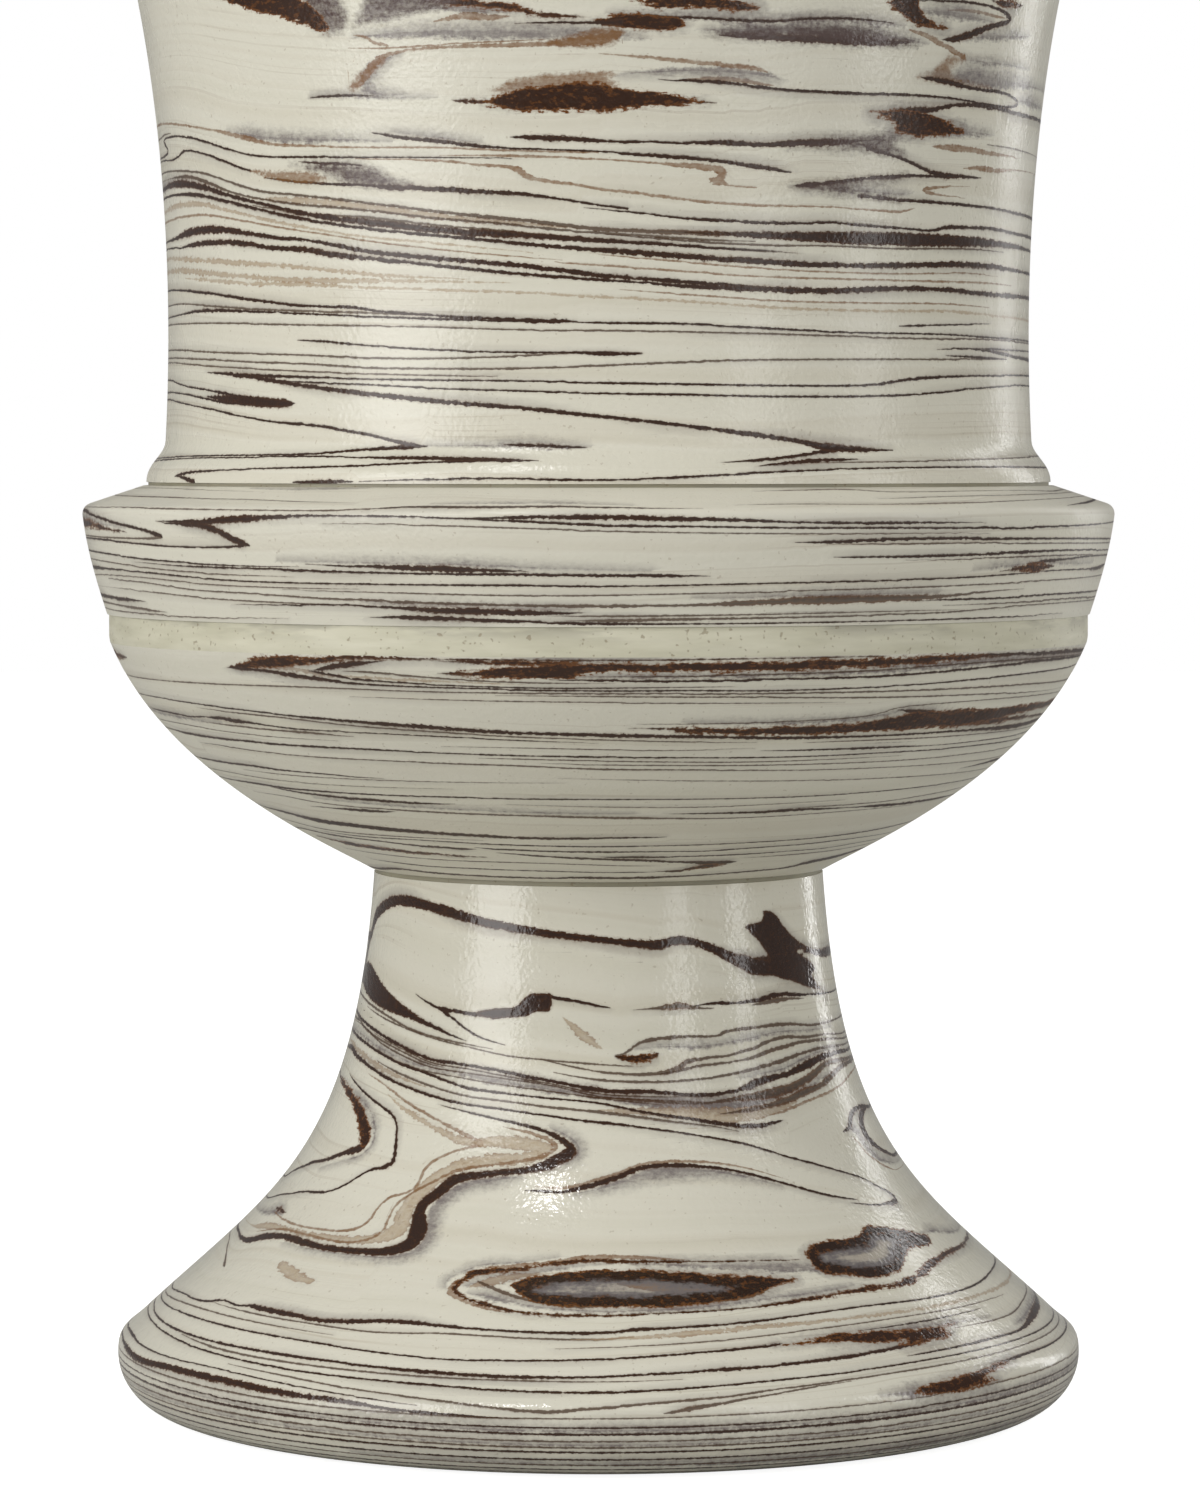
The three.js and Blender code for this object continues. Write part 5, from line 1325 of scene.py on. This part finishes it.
# Flared neck: marbled earthenware, thrown as one tall collar. A register below its seat enters
# the shoulder, its ogee foot covers the joint, and its lip is rolled outwards.
neck_height = 158
ogee_height = 8.6
ogee_lower_pull = 4
ogee_upper_pull = 3
neck_angle = 93.2
neck_pull = 67.5
lip_angle = 50
lip_pull = 22.5
rim_radius = 116
lip_roll_radius = 4.2
lip_roll_start = -60
lip_roll_end = 150
bore_spacing = 2.4
neck_roughness = (0.2, 0.34)
neck_bleed = 0.05
seen_height = 293

# The veins, in the same way as the foot's
neck_veins = [
    # lower lines and the cusp near the ogee
    ("ink",193.5,(-66,-.3),(-64,.1,.3),(-62,.5),(-55,1,.16),(-45,1.4),(-30,2,.18),(-22,2.6,.2),(-15,2.9),
     (-9,3)),
    ("ink",192,(-65,1.4),(-62,.9,.35),(-59,0,.4)),
    ("ink",196.4,(-80,0,.12),(-60,.6),(-50,.7,.14),(-40,.9,.16),(-30,.7,.2),(-24,.6,.4),(-17,.4,.42),
     (-10,.1,.32),(-7,0)),
    ("ink",197.3,(-80,-.4,.1),(-60,.1,.14),(-45,.3,.18),(-38,.5,.2),(-33,1,.25),(-28,1.5,.3),(-24,1.8,.4),
     (-21,2)),
    ("ink",199,(-80,9.9,.12),(-70,9),(-60,7.7,.14),(-52,6.2,.16),(-45,5,.18),(-38,4.3,.25),(-30,2.5),
     (-26,1.2,.3),(-24,.5,.4),(-22,.3)),
    ("smoke",199,(-22,.4),(-16,.5,.3),(-10,.5,.6),(-6,.3),(-1,.1)),
    ("ink",199,(-12,.6),(-8,.4,.35),(-4,.1,.25),(-1,0)),
    ("ink",192,(-40,.2),(-36,.3,.4),(-32,.4,.3),(-30,.4)),
    ("ink",192,(-30,.4),(-20,.9,.16),(-10,1,.18),(0,.8),(10,1.3,.2),(20,2.2,.18),(30,2.8,.16),(40,3.1),
     (60,3.2),(80,3,.14)),
    # lens at the left and its tails
    ("ink",207.6,(-62,1.8),(-58,1.3,.5),(-54,.9,.85),(-50,.6,.95),(-46,.2,.9),(-43,0,.6),(-41.5,0)),
    ("ink",208.6,(-80,4.3,.12),(-70,3,.14),(-60,1.8,.18),(-54,.8,.25),(-48,0)),
    ("ink",208,(-80,2.4,.12),(-70,1.9,.14),(-62,.9,.2),(-56,0,.25),(-50,-.7)),
    # long bold diagonal, its fork and its cusp
    ("ink",204.1,(-62,10),(-57,9.7,.25),(-52,9.2,.4),(-46,8.1,.38),(-40,7,.35),(-30,5.3,.42),(-20,3.8),
     (-10,2.5,.36),(0,.9,.32),(10,-.8,.3),(20,-2.7,.38),(26,-4,.4),(30,-5.1,.8),(35,-5.5,.5),(40,-5.6)),
    ("ink",211,(-53,2.4,.3),(-47,2.1),(-40,1.8,.2),(-30,1.3,.15),(-20,1),(-10,.8),(0,.4,.16),(10,.2,.18),
     (20,0,.17),(30,0),(37,.3,.22),(43,1.4,.25),(50,2,.2),(60,2.4,.16),(80,2.8,.14)),
    ("ink",195.8,(31,3,.5),(27,2,.35),(22,1.1,.32),(18,.6,.2),(14.5,.3)),
    ("ink",196,(34,.8),(28,.5,.45),(24,.1,.4),(19,-.6)),
    ("fine",196,(25,0),(40,.3,.12),(60,.8,.14),(80,1.3,.12)),
    # thin lines between 208 and 222
    ("ink",209.2,(-46,3),(-40,2.6,.14),(-30,2),(-20,1.2),(-10,.7,.15),(0,.2,.16),(10,0,.18),(20,-.3),
     (30,-.3),(40,0),(50,.8,.16),(55,1.4),(60,1.8,.14),(70,2.4,.12),(80,2.5,.12)),
    ("fine",217,(-80,2,.12),(-70,1.7,.14),(-60,1.1,.15),(-50,.6),(-40,.1),(-30,-.6),(-20,-.8),(-10,-.4),
     (-3,.2),(2,.3,.1),(6,.2)),
    ("ink",217,(-4,.2),(0,0,.3),(4,0,.25),(6,0)),
    ("fine",213.9,(-80,3.5,.12),(-60,2.7,.15),(-50,2,.16),(-40,1.5),(-30,.6),(-20,.3),(-10,.3),(0,.8),
     (10,1.5,.17),(20,2,.16),(40,2.4,.14),(60,2.8,.13),(67,3)),
    ("ink",216.8,(-42,3.3),(-38,3,.18),(-30,2,.16),(-20,1,.15),(-10,.5),(0,.5,.12),(3,.5)),
    ("fine",212.6,(-80,3.9,.1),(-60,2.7,.12),(-50,2),(-40,1.3),(-30,.7),(-20,.3,.1),(-12,0)),
    # lines between 220 and 232
    ("ink",223.2,(-80,8,.12),(-70,7.6,.2),(-65,7.1,.25),(-60,6.6),(-50,5,.26),(-40,3.5,.22),(-33,3.1,.24),
     (-28,2.2),(-20,1.2),(-10,.3,.32),(-5,.1),(-2,0)),
    ("fine",225.1,(-80,3,.1),(-70,3,.12),(-60,2.2,.16),(-50,1.3,.18),(-40,.6),(-31,.1,.2),(-22,-.5,.1),
     (-18,-.7)),
    ("ink",223.4,(-80,2.3,.1),(-70,2.7,.15),(-65,3.1,.28),(-58,3,.32),(-50,2.5,.2),(-40,1.8,.18),
     (-30,1,.16),(-20,.4,.2),(-12,0),(-6,-.2)),
    ("fine",220,(-80,4.2,.1),(-60,3.9,.12),(-40,3,.14),(-20,2.2,.12),(-10,1.6),(0,1.5,.14),(20,1),(40,.5),
     (60,.6,.13),(80,.5,.12)),
    ("ink",221.1,(-5,2),(2,1.8,.16),(10,1.7,.18),(20,1,.17),(30,.4,.16),(40,.3,.14),(50,.3),(60,0,.13),
     (80,-.2,.12)),
    ("ink",222.8,(41,0),(44,.1,.2),(47,.3,.14),(55,.7,.1),(62,1)),
    ("ink",218,(48,.4),(54,.6,.14),(60,.5,.22),(65,0,.3),(70,-.5),(80,-.9,.3)),
    ("ink",216.8,(50,.4),(56,.3,.2),(62,.1,.18),(68,0)),
    ("ink",218,(57,.6),(62,.8,.14),(70,.7,.12),(80,.8,.1)),
    # the two bold bands from the left
    ("ink",236.2,(-80,5,.16),(-73,5.3,.35),(-66,6.2,.75),(-60,6.3),(-55,5.9,.55),(-50,5,.4),(-45,4,.35),
     (-40,3.4,.3),(-35,2.2,.34),(-30,.8,.4),(-20,-.8,.42),(-10,-2.2),(0,-4.1,.4),(10,-5.3,.35),(16,-5.9,.3),
     (22,-6.3,.1),(26,-6.4)),
    ("ink",229.7,(-80,10,.12),(-70,9.8,.18),(-64,10.2,.45),(-58,10.2,.5),(-52,9.7),(-46,8.6,.35),(-40,8,.5),
     (-35,6.8),(-30,6,.4),(-20,4.3,.3),(-10,2.7),(0,1.5,.26),(5,1,.22),(10,.4,.3),(20,-.1,.55),(30,-.3,.5),
     (40,.4,.45),(50,.5,.42),(60,0),(80,0,.34)),
    # the upper bundle
    ("ink",242.7,(-80,9.3,.3),(-73,9.7,.6),(-66,9.2,.7),(-60,8,.5),(-55,6.4,.36),(-50,5,.32),(-45,3.5),
     (-40,2,.42),(-35,.9,.5),(-30,0,.6),(-20,-1.8,.65),(-10,-2.9,.6),(0,-4,.4),(8,-4.7,.3),(16,-5.4,.2),
     (24,-5.9)),
    ("ink",234.4,(-80,15.7,.18),(-72,15.8,.2),(-65,15.4,.34),(-60,14.6),(-50,12,.28),(-40,9.2,.32),
     (-30,7,.26),(-20,5.4),(-10,3.8,.32),(0,2.5,.4),(5,2,.5),(10,1.4),(20,.5),(30,0,.42),(40,.2,.5),(50,.8),
     (60,.9),(70,.5,.3),(80,.3,.24)),
    ("fine",240,(-80,15.2,.14),(-70,14.9),(-62,14,.18),(-57,12.6,.2),(-52,10.8),(-47,9.3),(-40,8.2,.18),
     (-33,7,.2),(-25,5.4,.22),(-20,4.4,.24),(-15,3.5,.3),(-10,2.7),(-5,1.8),(0,.9,.35),(10,.3,.4),(16,0,.4)),
    ("ink",239.4,(10,1),(16,.7,.4),(22,.5,.6),(28,.4,1),(36,.3,1.2),(44,.4,1.25),(52,.5,1.1),(60,.5,.8),
     (68,.3,.5),(76,.1,.3),(84,0,.2)),
    ("fine",238.6,(-76,15),(-66,14.8,.3),(-60,13.3),(-54,11,.2),(-48,9.4),(-40,7.8),(-34,7),(-28,6),
     (-20,4.5),(-12,3.4),(-4,2),(0,1.6),(6,1),(14,.3,.15),(20,.1)),
    ("taupe",242,(-50,6.1),(-44,5.6,.4),(-38,5,.6),(-30,3.6,.7),(-22,1.9,.6),(-16,.8,.4),(-10,0,.3),(-2,-1)),
    ("fine",237.6,(-50,9.3),(-44,8,.2),(-38,6.8),(-30,6),(-22,4.5),(-14,3.3),(-6,2.1),(2,1,.15),(10,.2,.12),
     (18,-.6,.1),(26,-1.1)),
    ("fine",238,(0,2),(6,1.3,.15),(14,.4,.18),(22,0,.15),(30,.1,.14),(40,-.1,.16),(48,.2,.14),(56,.5,.12),
     (66,.3)),
    ("ink",242,(-2,3),(5,2,.16),(10,1.1,.2),(16,.6,.28),(24,.3,.24),(30,.6),(36,.2,.22),(42,-.1,.2),
     (47,-.3,.22),(50,.4,.34),(56,.7,.3),(60,.8),(70,.3,.28),(80,.1,.28)),
    # rust and taupe strata
    ("taupe",231,(-80,4,.38),(-70,3.8,.44),(-60,2.8),(-50,1.7,.38),(-42,.8),(-33,.4),(-20,0,.19),(-10,-.4)),
    ("taupe",232,(-78,5.6,.25),(-68,5,.38),(-55,3.8),(-45,2.8,.31),(-36,1.6),(-28,.4,.25),(-16,-.6)),
    ("taupe",225.4,(-70,7.9),(-60,7,.31),(-50,6),(-40,5.5),(-30,4.6,.2),(-20,4,.18),(-10,3.4),(0,2.5,.19),
     (10,1.8),(20,.8,.2),(30,.3),(40,.3,.18),(50,.6,.19),(60,.2,.18),(80,-.3,.15)),
    ("rust",231,(-6,3.6),(0,3,.16),(10,1.9),(20,1,.14),(40,.7,.15),(60,.9),(70,.7)),
    ("rust",227,(2,2.4),(12,1.3,.12),(24,.3,.15),(36,.2,.12),(50,.4),(62,0)),
    ("rust",233,(0,3),(8,2,.12),(16,1,.14),(26,.2,.12),(40,0),(54,.6,.1),(64,.4)),
    ("taupe",239,(-80,8.4,.38),(-70,9,.44),(-62,8.7,.38),(-54,6.8,.25),(-46,4.6),(-38,2.6,.19),(-30,.8,.15),
     (-20,-.7),(-8,-2.6)),
    ("rust",241.2,(-80,4,.15),(-68,4.4,.2),(-60,4.2),(-52,2.7,.16),(-44,.9,.14),(-36,-.8,.12),(-26,-3),
     (-14,-5,.1),(-4,-6.3)),
    # left loops
    ("ink",255,(-80,3.4,.14),(-76.5,3.5,.2),(-74.6,4.1,.22),(-75,5,.2),(-76.6,5.7),(-77.2,6.3,.16),
     (-75.8,6.8,.14),(-73,6.9,.18),(-68,6.7),(-62,5.6,.2),(-55,3.4,.18),(-50,1.8,.16),(-45,1),(-40,.7,.2),
     (-30,.2,.12),(-20,-.2,.1),(-10,-.6)),
    ("ink",257,(-80,.6,.1),(-73,.3,.18),(-69.4,.7,.2),(-67.5,1.5,.22),(-65,1.6,.2),(-62,1,.18),(-58,-.1,.2),
     (-54,-1.7),(-51,-3),(-49,-3.5,.25)),
    ("rust",256,(-80,9,.2),(-70,8.3),(-62,7,.16),(-57,6,.2),(-53,4.9,.4),(-49,3.7),(-45,2.5,.25),
     (-40,1.9,.2),(-30,1.1,.15),(-20,.7),(-10,-.1),(0,-.5,.15)),
    ("smoke",258,(-54,3.6),(-50,2.9,.7),(-46,2,.9),(-40,1.3,.8),(-32,.7,.4),(-26,.1)),
    ("fine",262,(-80,.2,.12),(-76,.6,.15),(-72,.6)),
    # brown and smoky folds in the middle
    ("stain",250.4,(-50,3.4),(-46,2.8),(-42,2.6),(-38,2),(-36,.6),(-40,.2),(-44,1),(-47,2)),
    ("ink",244.7,(-47,7.4),(-43,6.6,.2),(-40,6.1),(-35,5.5,.22),(-30,5.1,.25),(-26,4.5,.45),(-22,4.3,.4),
     (-16,3.6,.42),(-10,3,.32),(-5,2,.2),(0,.8),(4,0,.18)),
    ("mist",249,(-42,5.4),(-37,5.5),(-32,5),(-29,4),(-26,1.9),(-23.4,.2),(-27.5,.3),(-31,.9),(-34,2.2),
     (-38,4)),
    ("smoke",252,(-80,.4,.9),(-73,.9,1.1),(-66,.3,.9),(-60,-1,.4),(-56,-2.2)),
    ("ink",253.9,(-41,1),(-38,.6,.2),(-35,.3,.26),(-32,0,.2),(-30,-.5)),
    ("ink",252,(-29.5,8),(-27,7.4,.2),(-25,6.8,.3),(-22,6.3,.34),(-20,5.9),(-15,4.9,.28),(-10,4.3,.16),
     (0,3.7,.14),(5,3.1,.28),(10,2.6,.34),(15,2,.3),(19,1.2,.4),(22,.6,.35),(25,0)),
    ("smoke",259,(-26,.9),(-22,.2,.3),(-18,-.7),(-14,-1.6)),
    ("rust",245,(-32,10),(-20,9.2,.18),(-14,8.2,.2),(-10.5,7.7,.3),(-9.5,6.8,.6),(-8.5,5.8,.5),(-6,5,.3),
     (-3,4.4,.2),(0,3.6,.22),(5,2.7,.24),(10,1.7,.25),(15,1,.2),(20,.6),(30,.6,.12),(38,.2,.16),(41,.1,.2),
     (44,1)),
    ("rust",249,(-20,6.2),(-10,5.9,.2),(0,5.2,.12),(6,4.6,.14),(12,3.9,.5),(15,3.3,.7),(15.5,2,.6),
     (13.5,1,.3),(16,.4,.14),(20,0,.1)),
    ("ink",257.4,(-11,1.1),(-9,1,.34),(-5,.8,.46),(-2,.5,.42),(1,.2,.26),(5,.1,.24),(10,0),(14,.1,.36),
     (18,0,.46),(22,0),(26,.4,.6),(29,.6,.7),(33,1,.3),(36,1.4)),
    ("mist",256.2,(23,1.1),(26,1.7),(29,2.6),(33,3.2),(37,4),(41,4.6),(43,4),(39.4,2.4),(41.6,0),(37,.1),
     (32,.4),(28,.8)),
    ("gash",259.9,(35.2,3.9),(38,4.8),(42,5),(46,4.3),(50,3),(53,1.5),(48,.5),(43,0),(39,.9),(40,2.5),
     (37.4,3.3)),
    ("smoke",261,(44,.8),(47,.6,1.2),(51,.5),(55,.5,.8),(60,.4)),
    ("ink",266,(38,-1.8,.4),(43,-1.1,.7),(46,-.7,.5),(50,.4,.36),(54,.8,.42),(58,.8,.46),(62,.5,.4),
     (70,0,.36),(80,0,.3)),
    ("ink",252.6,(35,4.8,.6),(38,3.8,.3),(41,2.9,.28),(43,2,.32),(46,.7,.4),(48.5,0,.55),(52,0,.45),
     (55,0,.25),(58,0)),
    ("ink",249.5,(50,3,.3),(46,2.8,.26),(43,2.7,.22),(40,2.4,.36),(36,1.9,.3),(32,1.2,.32),(29,.6,.35),
     (26.5,.2,.5),(24.5,0)),
    ("mist",247.8,(24.2,1.8),(28,2.5),(32,3),(37,3.8),(42,4.4),(37,3),(33,2.1),(37,.4),(41,-.5),(34,-.1),
     (28,.9)),
    ("ink",247,(34,1,.4),(37,.7,.3),(42,.4),(50,.2,.28),(60,-.1,.22),(70,-.6,.26),(80,-.9,.28)),
    ("smoke",248.6,(27,.8),(32,.6,.5),(37,.2),(43,0)),
    ("rust",248.1,(55,2.7),(50,2.4,.1),(47,2,.2),(45.2,1.6,.3),(46,1,.25),(49,.6,.14),(54,.3)),
    ("rust",257.1,(46,1),(49,1,.5),(53,.9,.6),(58,.6,.5),(64,.4,.2),(70,.3)),
    ("rust",254.3,(53,0),(57,.2,.4),(62,.1),(68,.6,.12),(80,.8)),
    ("fine",258.7,(58,.6),(64,.5,.1),(72,.2),(80,0)),
    # the great ragged lens
    ("gash",263.3,(-14.4,1.6),(-12.6,2.9),(-11,3.9),(-9,4.7),(-5.4,5),(-2,5.6),(.6,5.1),(1.6,4.5),(4,4.2),
     (7,3.6),(10,2.9),(13,2),(10.6,1.2),(6,.7),(0,.2),(-6,.1),(-10.5,.3),(-13,1)),
    ("stain",267,(-13.4,0),(-11,1.8),(-9.6,2.6),(-5,3.3),(0,3.7),(2.2,3.3),(1.2,2),(3.4,1),(-1,.4),(-8,-.2)),
    ("lens",265,(-18,.7),(-16,.4,.3),(-13.5,.2,.5)),
    ("lens",265,(11,.4,.5),(14.5,0)),
    ("smoke",266,(-38,1),(-35,1.2,.2),(-31,1,.3),(-27,.6,.2),(-20,.3)),
    ("ink",267,(-38,0),(-35,.2,.2),(-31,.1,.18),(-28,-.1)),
    ("rust",275,(-32,-6.4),(-30,-5.4,.5),(-29,-3.7,.8),(-28,-2,.7),(-26.5,-.6,.4),(-24,.2,.2),(-20,.7),
     (-12,.9,.3),(-6,1.1,.5),(0,2,1),(2,2.7,.8),(3,3.4)),
    ("stain",268.4,(-32,0),(-30.4,2.4),(-28.4,4.6),(-26.4,6.2),(-26.4,5),(-28,3.2),(-29.4,1.4),(-30.6,0)),
    ("smoke",267,(-24,8),(-26.6,6.4,.9),(-28.2,4.8,1.5),(-29,3,1.7),(-29,1.4,1.4),(-27.4,.4,.7),(-24,0)),
    # top left mass and the smoky top
    ("gash",281,(-56,8.6),(-50.6,5.8),(-47.5,4.2),(-44.6,3),(-41.6,2),(-39.2,.8),(-37.4,0),(-35.8,-1),
     (-34,-1.6),(-34.4,.6),(-36,3),(-38,5.4),(-42,7.4),(-48,9)),
    ("mist",279.4,(-38.4,8),(-36.6,4.6),(-34.6,.4),(-32.2,0),(-31.4,2),(-31.6,4.6),(-33,7.4),(-35.6,9)),
    ("smoke",278,(-31,.2),(-24,.8,1),(-14,.6,1.4),(-6,.4,1.5),(0,.2,1.2),(6,-1)),
    ("stain",276,(-8,.3),(-4,1.2),(0,3),(3,2.8),(2.4,.8),(.6,-.4),(-4,-.4)),
    ("rust",275.2,(-31,3.4),(-29,3,.2),(-28,2,.25),(-26,1,.2),(-25.6,.4)),
    ("mist",280.2,(-30.6,.2),(-29,3.2),(-28.2,5.8),(-25,7.2),(-20,6.8),(-16.4,5),(-18.4,3),(-22,2),(-26,1)),
    ("smoke",283,(-20,.2),(-16,.2,1),(-12,-.2,.7),(-8,-1)),
    ("lens",281,(-22,3.4),(-18,3.2,.6),(-14,2.7,.7),(-10,1.9),(-8,1,.4),(-4,.3,.3),(-1,0)),
    ("rust",280.6,(-20,0),(-16,1,.6),(-13,.6,.5),(-10,.8)),
    ("ink",280,(-10,0),(-4,.1,.2),(0,0,.3),(3,.1,.8)),
    ("gash",278.6,(-.4,1.8),(2.4,3),(6.6,2.8),(10.2,2),(9.6,.6),(6.5,0),(3.6,.4),(.8,.9)),
    ("smoke",281,(1,.8),(6,.4,.5),(12,.2),(18,-.2),(24,.4,.7),(30,.9),(36,.6,.6),(40,0)),
    ("ink",281,(2,.7),(6,.3,.25),(12,.1,.22),(20,-.3,.25),(26,.5,.2),(32,.8),(38,.4)),
    ("smoke",278.6,(12,.2),(18,.6,.9),(26,1,1.5),(34,.8,1.4),(40,0,.8),(44,-.8)),
    ("mist",277,(12.4,1),(17,2.2),(22,3),(28,3.6),(34,3.2),(38,2),(42,.6),(38,-.1),(30,0),(24,.1),(18,.4)),
    ("ink",277.7,(14,.2),(18,.1,.4),(24,0,.7),(30,0,.8),(35,0),(39,.1,.4),(41,.2)),
    ("gash",282,(3.6,2),(7,3),(13,3.2),(19.4,1.4),(17,.6),(12,.8),(7,.8)),
    ("gash",281,(36.4,3.9),(38,6),(41,6),(42,3.2),(44,1.6),(47,.2),(43.6,0),(41,.6),(38.8,2.2)),
    ("smoke",283.2,(42,1),(46,1.2,1.2),(50,1),(54,.4,.6),(57,0)),
    ("rust",277.6,(40,2.8),(43,2,.5),(46,.6),(49,-.8),(51.5,-2,.4)),
    ("stain",270.4,(42.4,1.1),(45,2),(46.4,3.6),(48,5.3),(51.8,5.5),(50,4.2),(48.6,3),(49,1.8),(52,.8),
     (58,0),(50,-.1),(45,.4)),
    ("smoke",272,(48.6,-1),(50,.2,1.2),(52,.6,1.9),(56,.4,2),(61,.2,1.6),(68,.2,1),(78,0)),
    ("smoke",274.4,(50,1),(56,1,.4),(62,1),(70,.8)),
    ("ink",266.9,(43,4.5),(46,4.2,.5),(49,3.8),(52,3.3,.34),(56,3,.26),(60,3),(63.5,2.6,.22),(66.5,1.7,.24),
     (67,.9,.22),(65,.4,.2),(61,.2,.18),(55,.4,.16),(50,.8,.18),(40,.9,.24),(35,.7),(25,.8,.26),(20,1.3),
     (15,2,.3),(11,2.3,.2),(7,2.5)),
    ("smoke",268,(66,.6),(70,1,1),(76,.8,.8),(82,.4)),
    ("rust",269,(10,.4),(14,.6,.4),(18,.3),(22,-.6)),
    ("ink",278.5,(46,.3),(49,.8,.6),(52,2,.75),(55,3.4,.6),(58,4.4,.5),(60.5,5.3,.42),(61,6.1,.32),
     (59.5,6.8,.3),(56,7.6,.25),(50,8,.2),(44,7.7,.15),(41,7.5)),
    ("smoke",280,(50,-1),(55,.4,.8),(61,1),(68,1.6)),
    ("rust",284,(46,.6),(52,.9,.3),(57,.4,.25),(60,.2)),
    ("lens",287,(55,.4),(58,.3,.7),(61,.2),(64,.3)),
    ("rust",272,(0,2.2),(5,1.6,.2),(10,.9,.35),(15,.3,.4),(19,-.3),(21,-1)),
    ("smoke",270,(23,-.4),(20,.4,.8),(16,.9,1.1),(11,1,.7),(6,.6,.3),(2,.2)),
    ("rust",275.9,(-32,.3),(-26,0,.12),(-16,.5,.1),(-6,1)),
]

overall_height = neck_seat_level + neck_height
ogee_top = np.array((neck_radius, neck_seat_level + ogee_height))
ogee = curve((ogee_radius, neck_seat_level), 90, ogee_lower_pull, ogee_top, 90, ogee_upper_pull)
lip_centre = np.array((rim_radius - lip_roll_radius, overall_height - lip_roll_radius))
lip_start = lip_centre + lip_roll_radius * heading(lip_roll_start)
wall = curve(ogee_top, neck_angle, neck_pull, lip_start, lip_angle, lip_pull)
lip = arc(lip_centre, lip_roll_radius, lip_roll_radius, lip_roll_start, lip_roll_end)
bore = offset_left(wall, neck_wall, bore_spacing)
register_bottom = neck_seat_level - register_depth
neck = turned("neck_of_marbled_clay", [
    (neck_inner, register_bottom), (register_radius, register_bottom), (register_radius, neck_seat_level),
    *ogee, *wall[1:], *lip[1:], *bore[:0:-1],
])
neck_skin = np.concatenate((ogee, wall[1:], lip[lip[:, 0] > lip_centre[0]][1:]))
lay_veins(neck, neck_skin, neck_veins, neck_bleed, inner_turn=inner_turn, repeat_from=seen_height)
neck.data.materials.append(marbled_clay("marbled_earthenware_satin_glaze_neck", neck_roughness))
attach(neck, "root")
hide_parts("flared_neck")

# The studio: a pale floor that keeps the vase's shadow, tall soft lights at both sides, a small
# high lamp for the sparkle on the foot, and a white surround that the glaze mirrors only dimly.
floor_size = 8
floor_drop = 0.0004
floor_roughness = 0.9
floor_glow = 0.9
surround_light = 0.47
surround_mirrored = 0.2
lamp_place = (-0.38, -0.75, 1.29)
lamp_tip = 34
lamp_turn = -27
lamp_size = 0.1
lamp_power = 2.5
bpy.ops.mesh.primitive_plane_add(size=floor_size, location=(0, 0, -floor_drop))
floor = bpy.context.object
floor.name = "studio_floor"
pale = bpy.data.materials.new("pale_paper")
pale.use_nodes = True
paper = pale.node_tree
sheet = paper.nodes["Principled BSDF"]
sheet.inputs["Base Color"].default_value = linear("#c2c2bf")
sheet.inputs["Roughness"].default_value = floor_roughness
sheet.inputs["Emission Color"].default_value = linear("#ffffff")
lit = times(paper, add(paper, "ShaderNodeLightPath").outputs["Is Camera Ray"], floor_glow)
paper.links.new(lit, sheet.inputs["Emission Strength"])
floor.data.materials.append(pale)

world = bpy.data.worlds.new("white_surround")
bpy.context.scene.world = world
world.use_nodes = True
sky = world.node_tree
backdrop = sky.nodes["Background"]
path = add(sky, "ShaderNodeLightPath").outputs
mirrored = change(sky, path["Is Glossy Ray"], 0.0, 1.0, surround_light, surround_mirrored)
strength = calc(sky, "MAXIMUM", mirrored, path["Is Camera Ray"])
backdrop.inputs["Color"].default_value = linear("#ffffff")
sky.links.new(strength, backdrop.inputs["Strength"])


def soft_light(name, angle, distance, height, width, tall, power):
    """A tall soft box at an angle from the front, turned to the vase. Its measures are metres."""
    turn = math.radians(angle)
    bpy.ops.object.light_add(
        type="AREA", location=(math.sin(turn) * distance, -math.cos(turn) * distance, height),
        rotation=(math.radians(90), 0, turn),
    )
    light = bpy.context.object
    light.name = name
    light.data.shape = "RECTANGLE"
    light.data.size = width
    light.data.size_y = tall
    light.data.energy = power


soft_light("left_soft_box", angle=-51, distance=1.6, height=0.6, width=0.8, tall=1.5, power=15)
soft_light("right_strip", angle=40, distance=1.6, height=0.6, width=0.22, tall=1.4, power=3)
soft_light("right_wing", angle=73, distance=1.6, height=0.5, width=0.18, tall=1.4, power=3.5)
soft_light("edge_strip", angle=134, distance=1.5, height=0.4, width=0.16, tall=1.4, power=3)
bpy.ops.object.light_add(
    type="AREA", location=lamp_place, rotation=(math.radians(lamp_tip), 0, math.radians(lamp_turn)),
)
bpy.context.object.name = "high_lamp"
bpy.context.object.data.size = lamp_size
bpy.context.object.data.energy = lamp_power
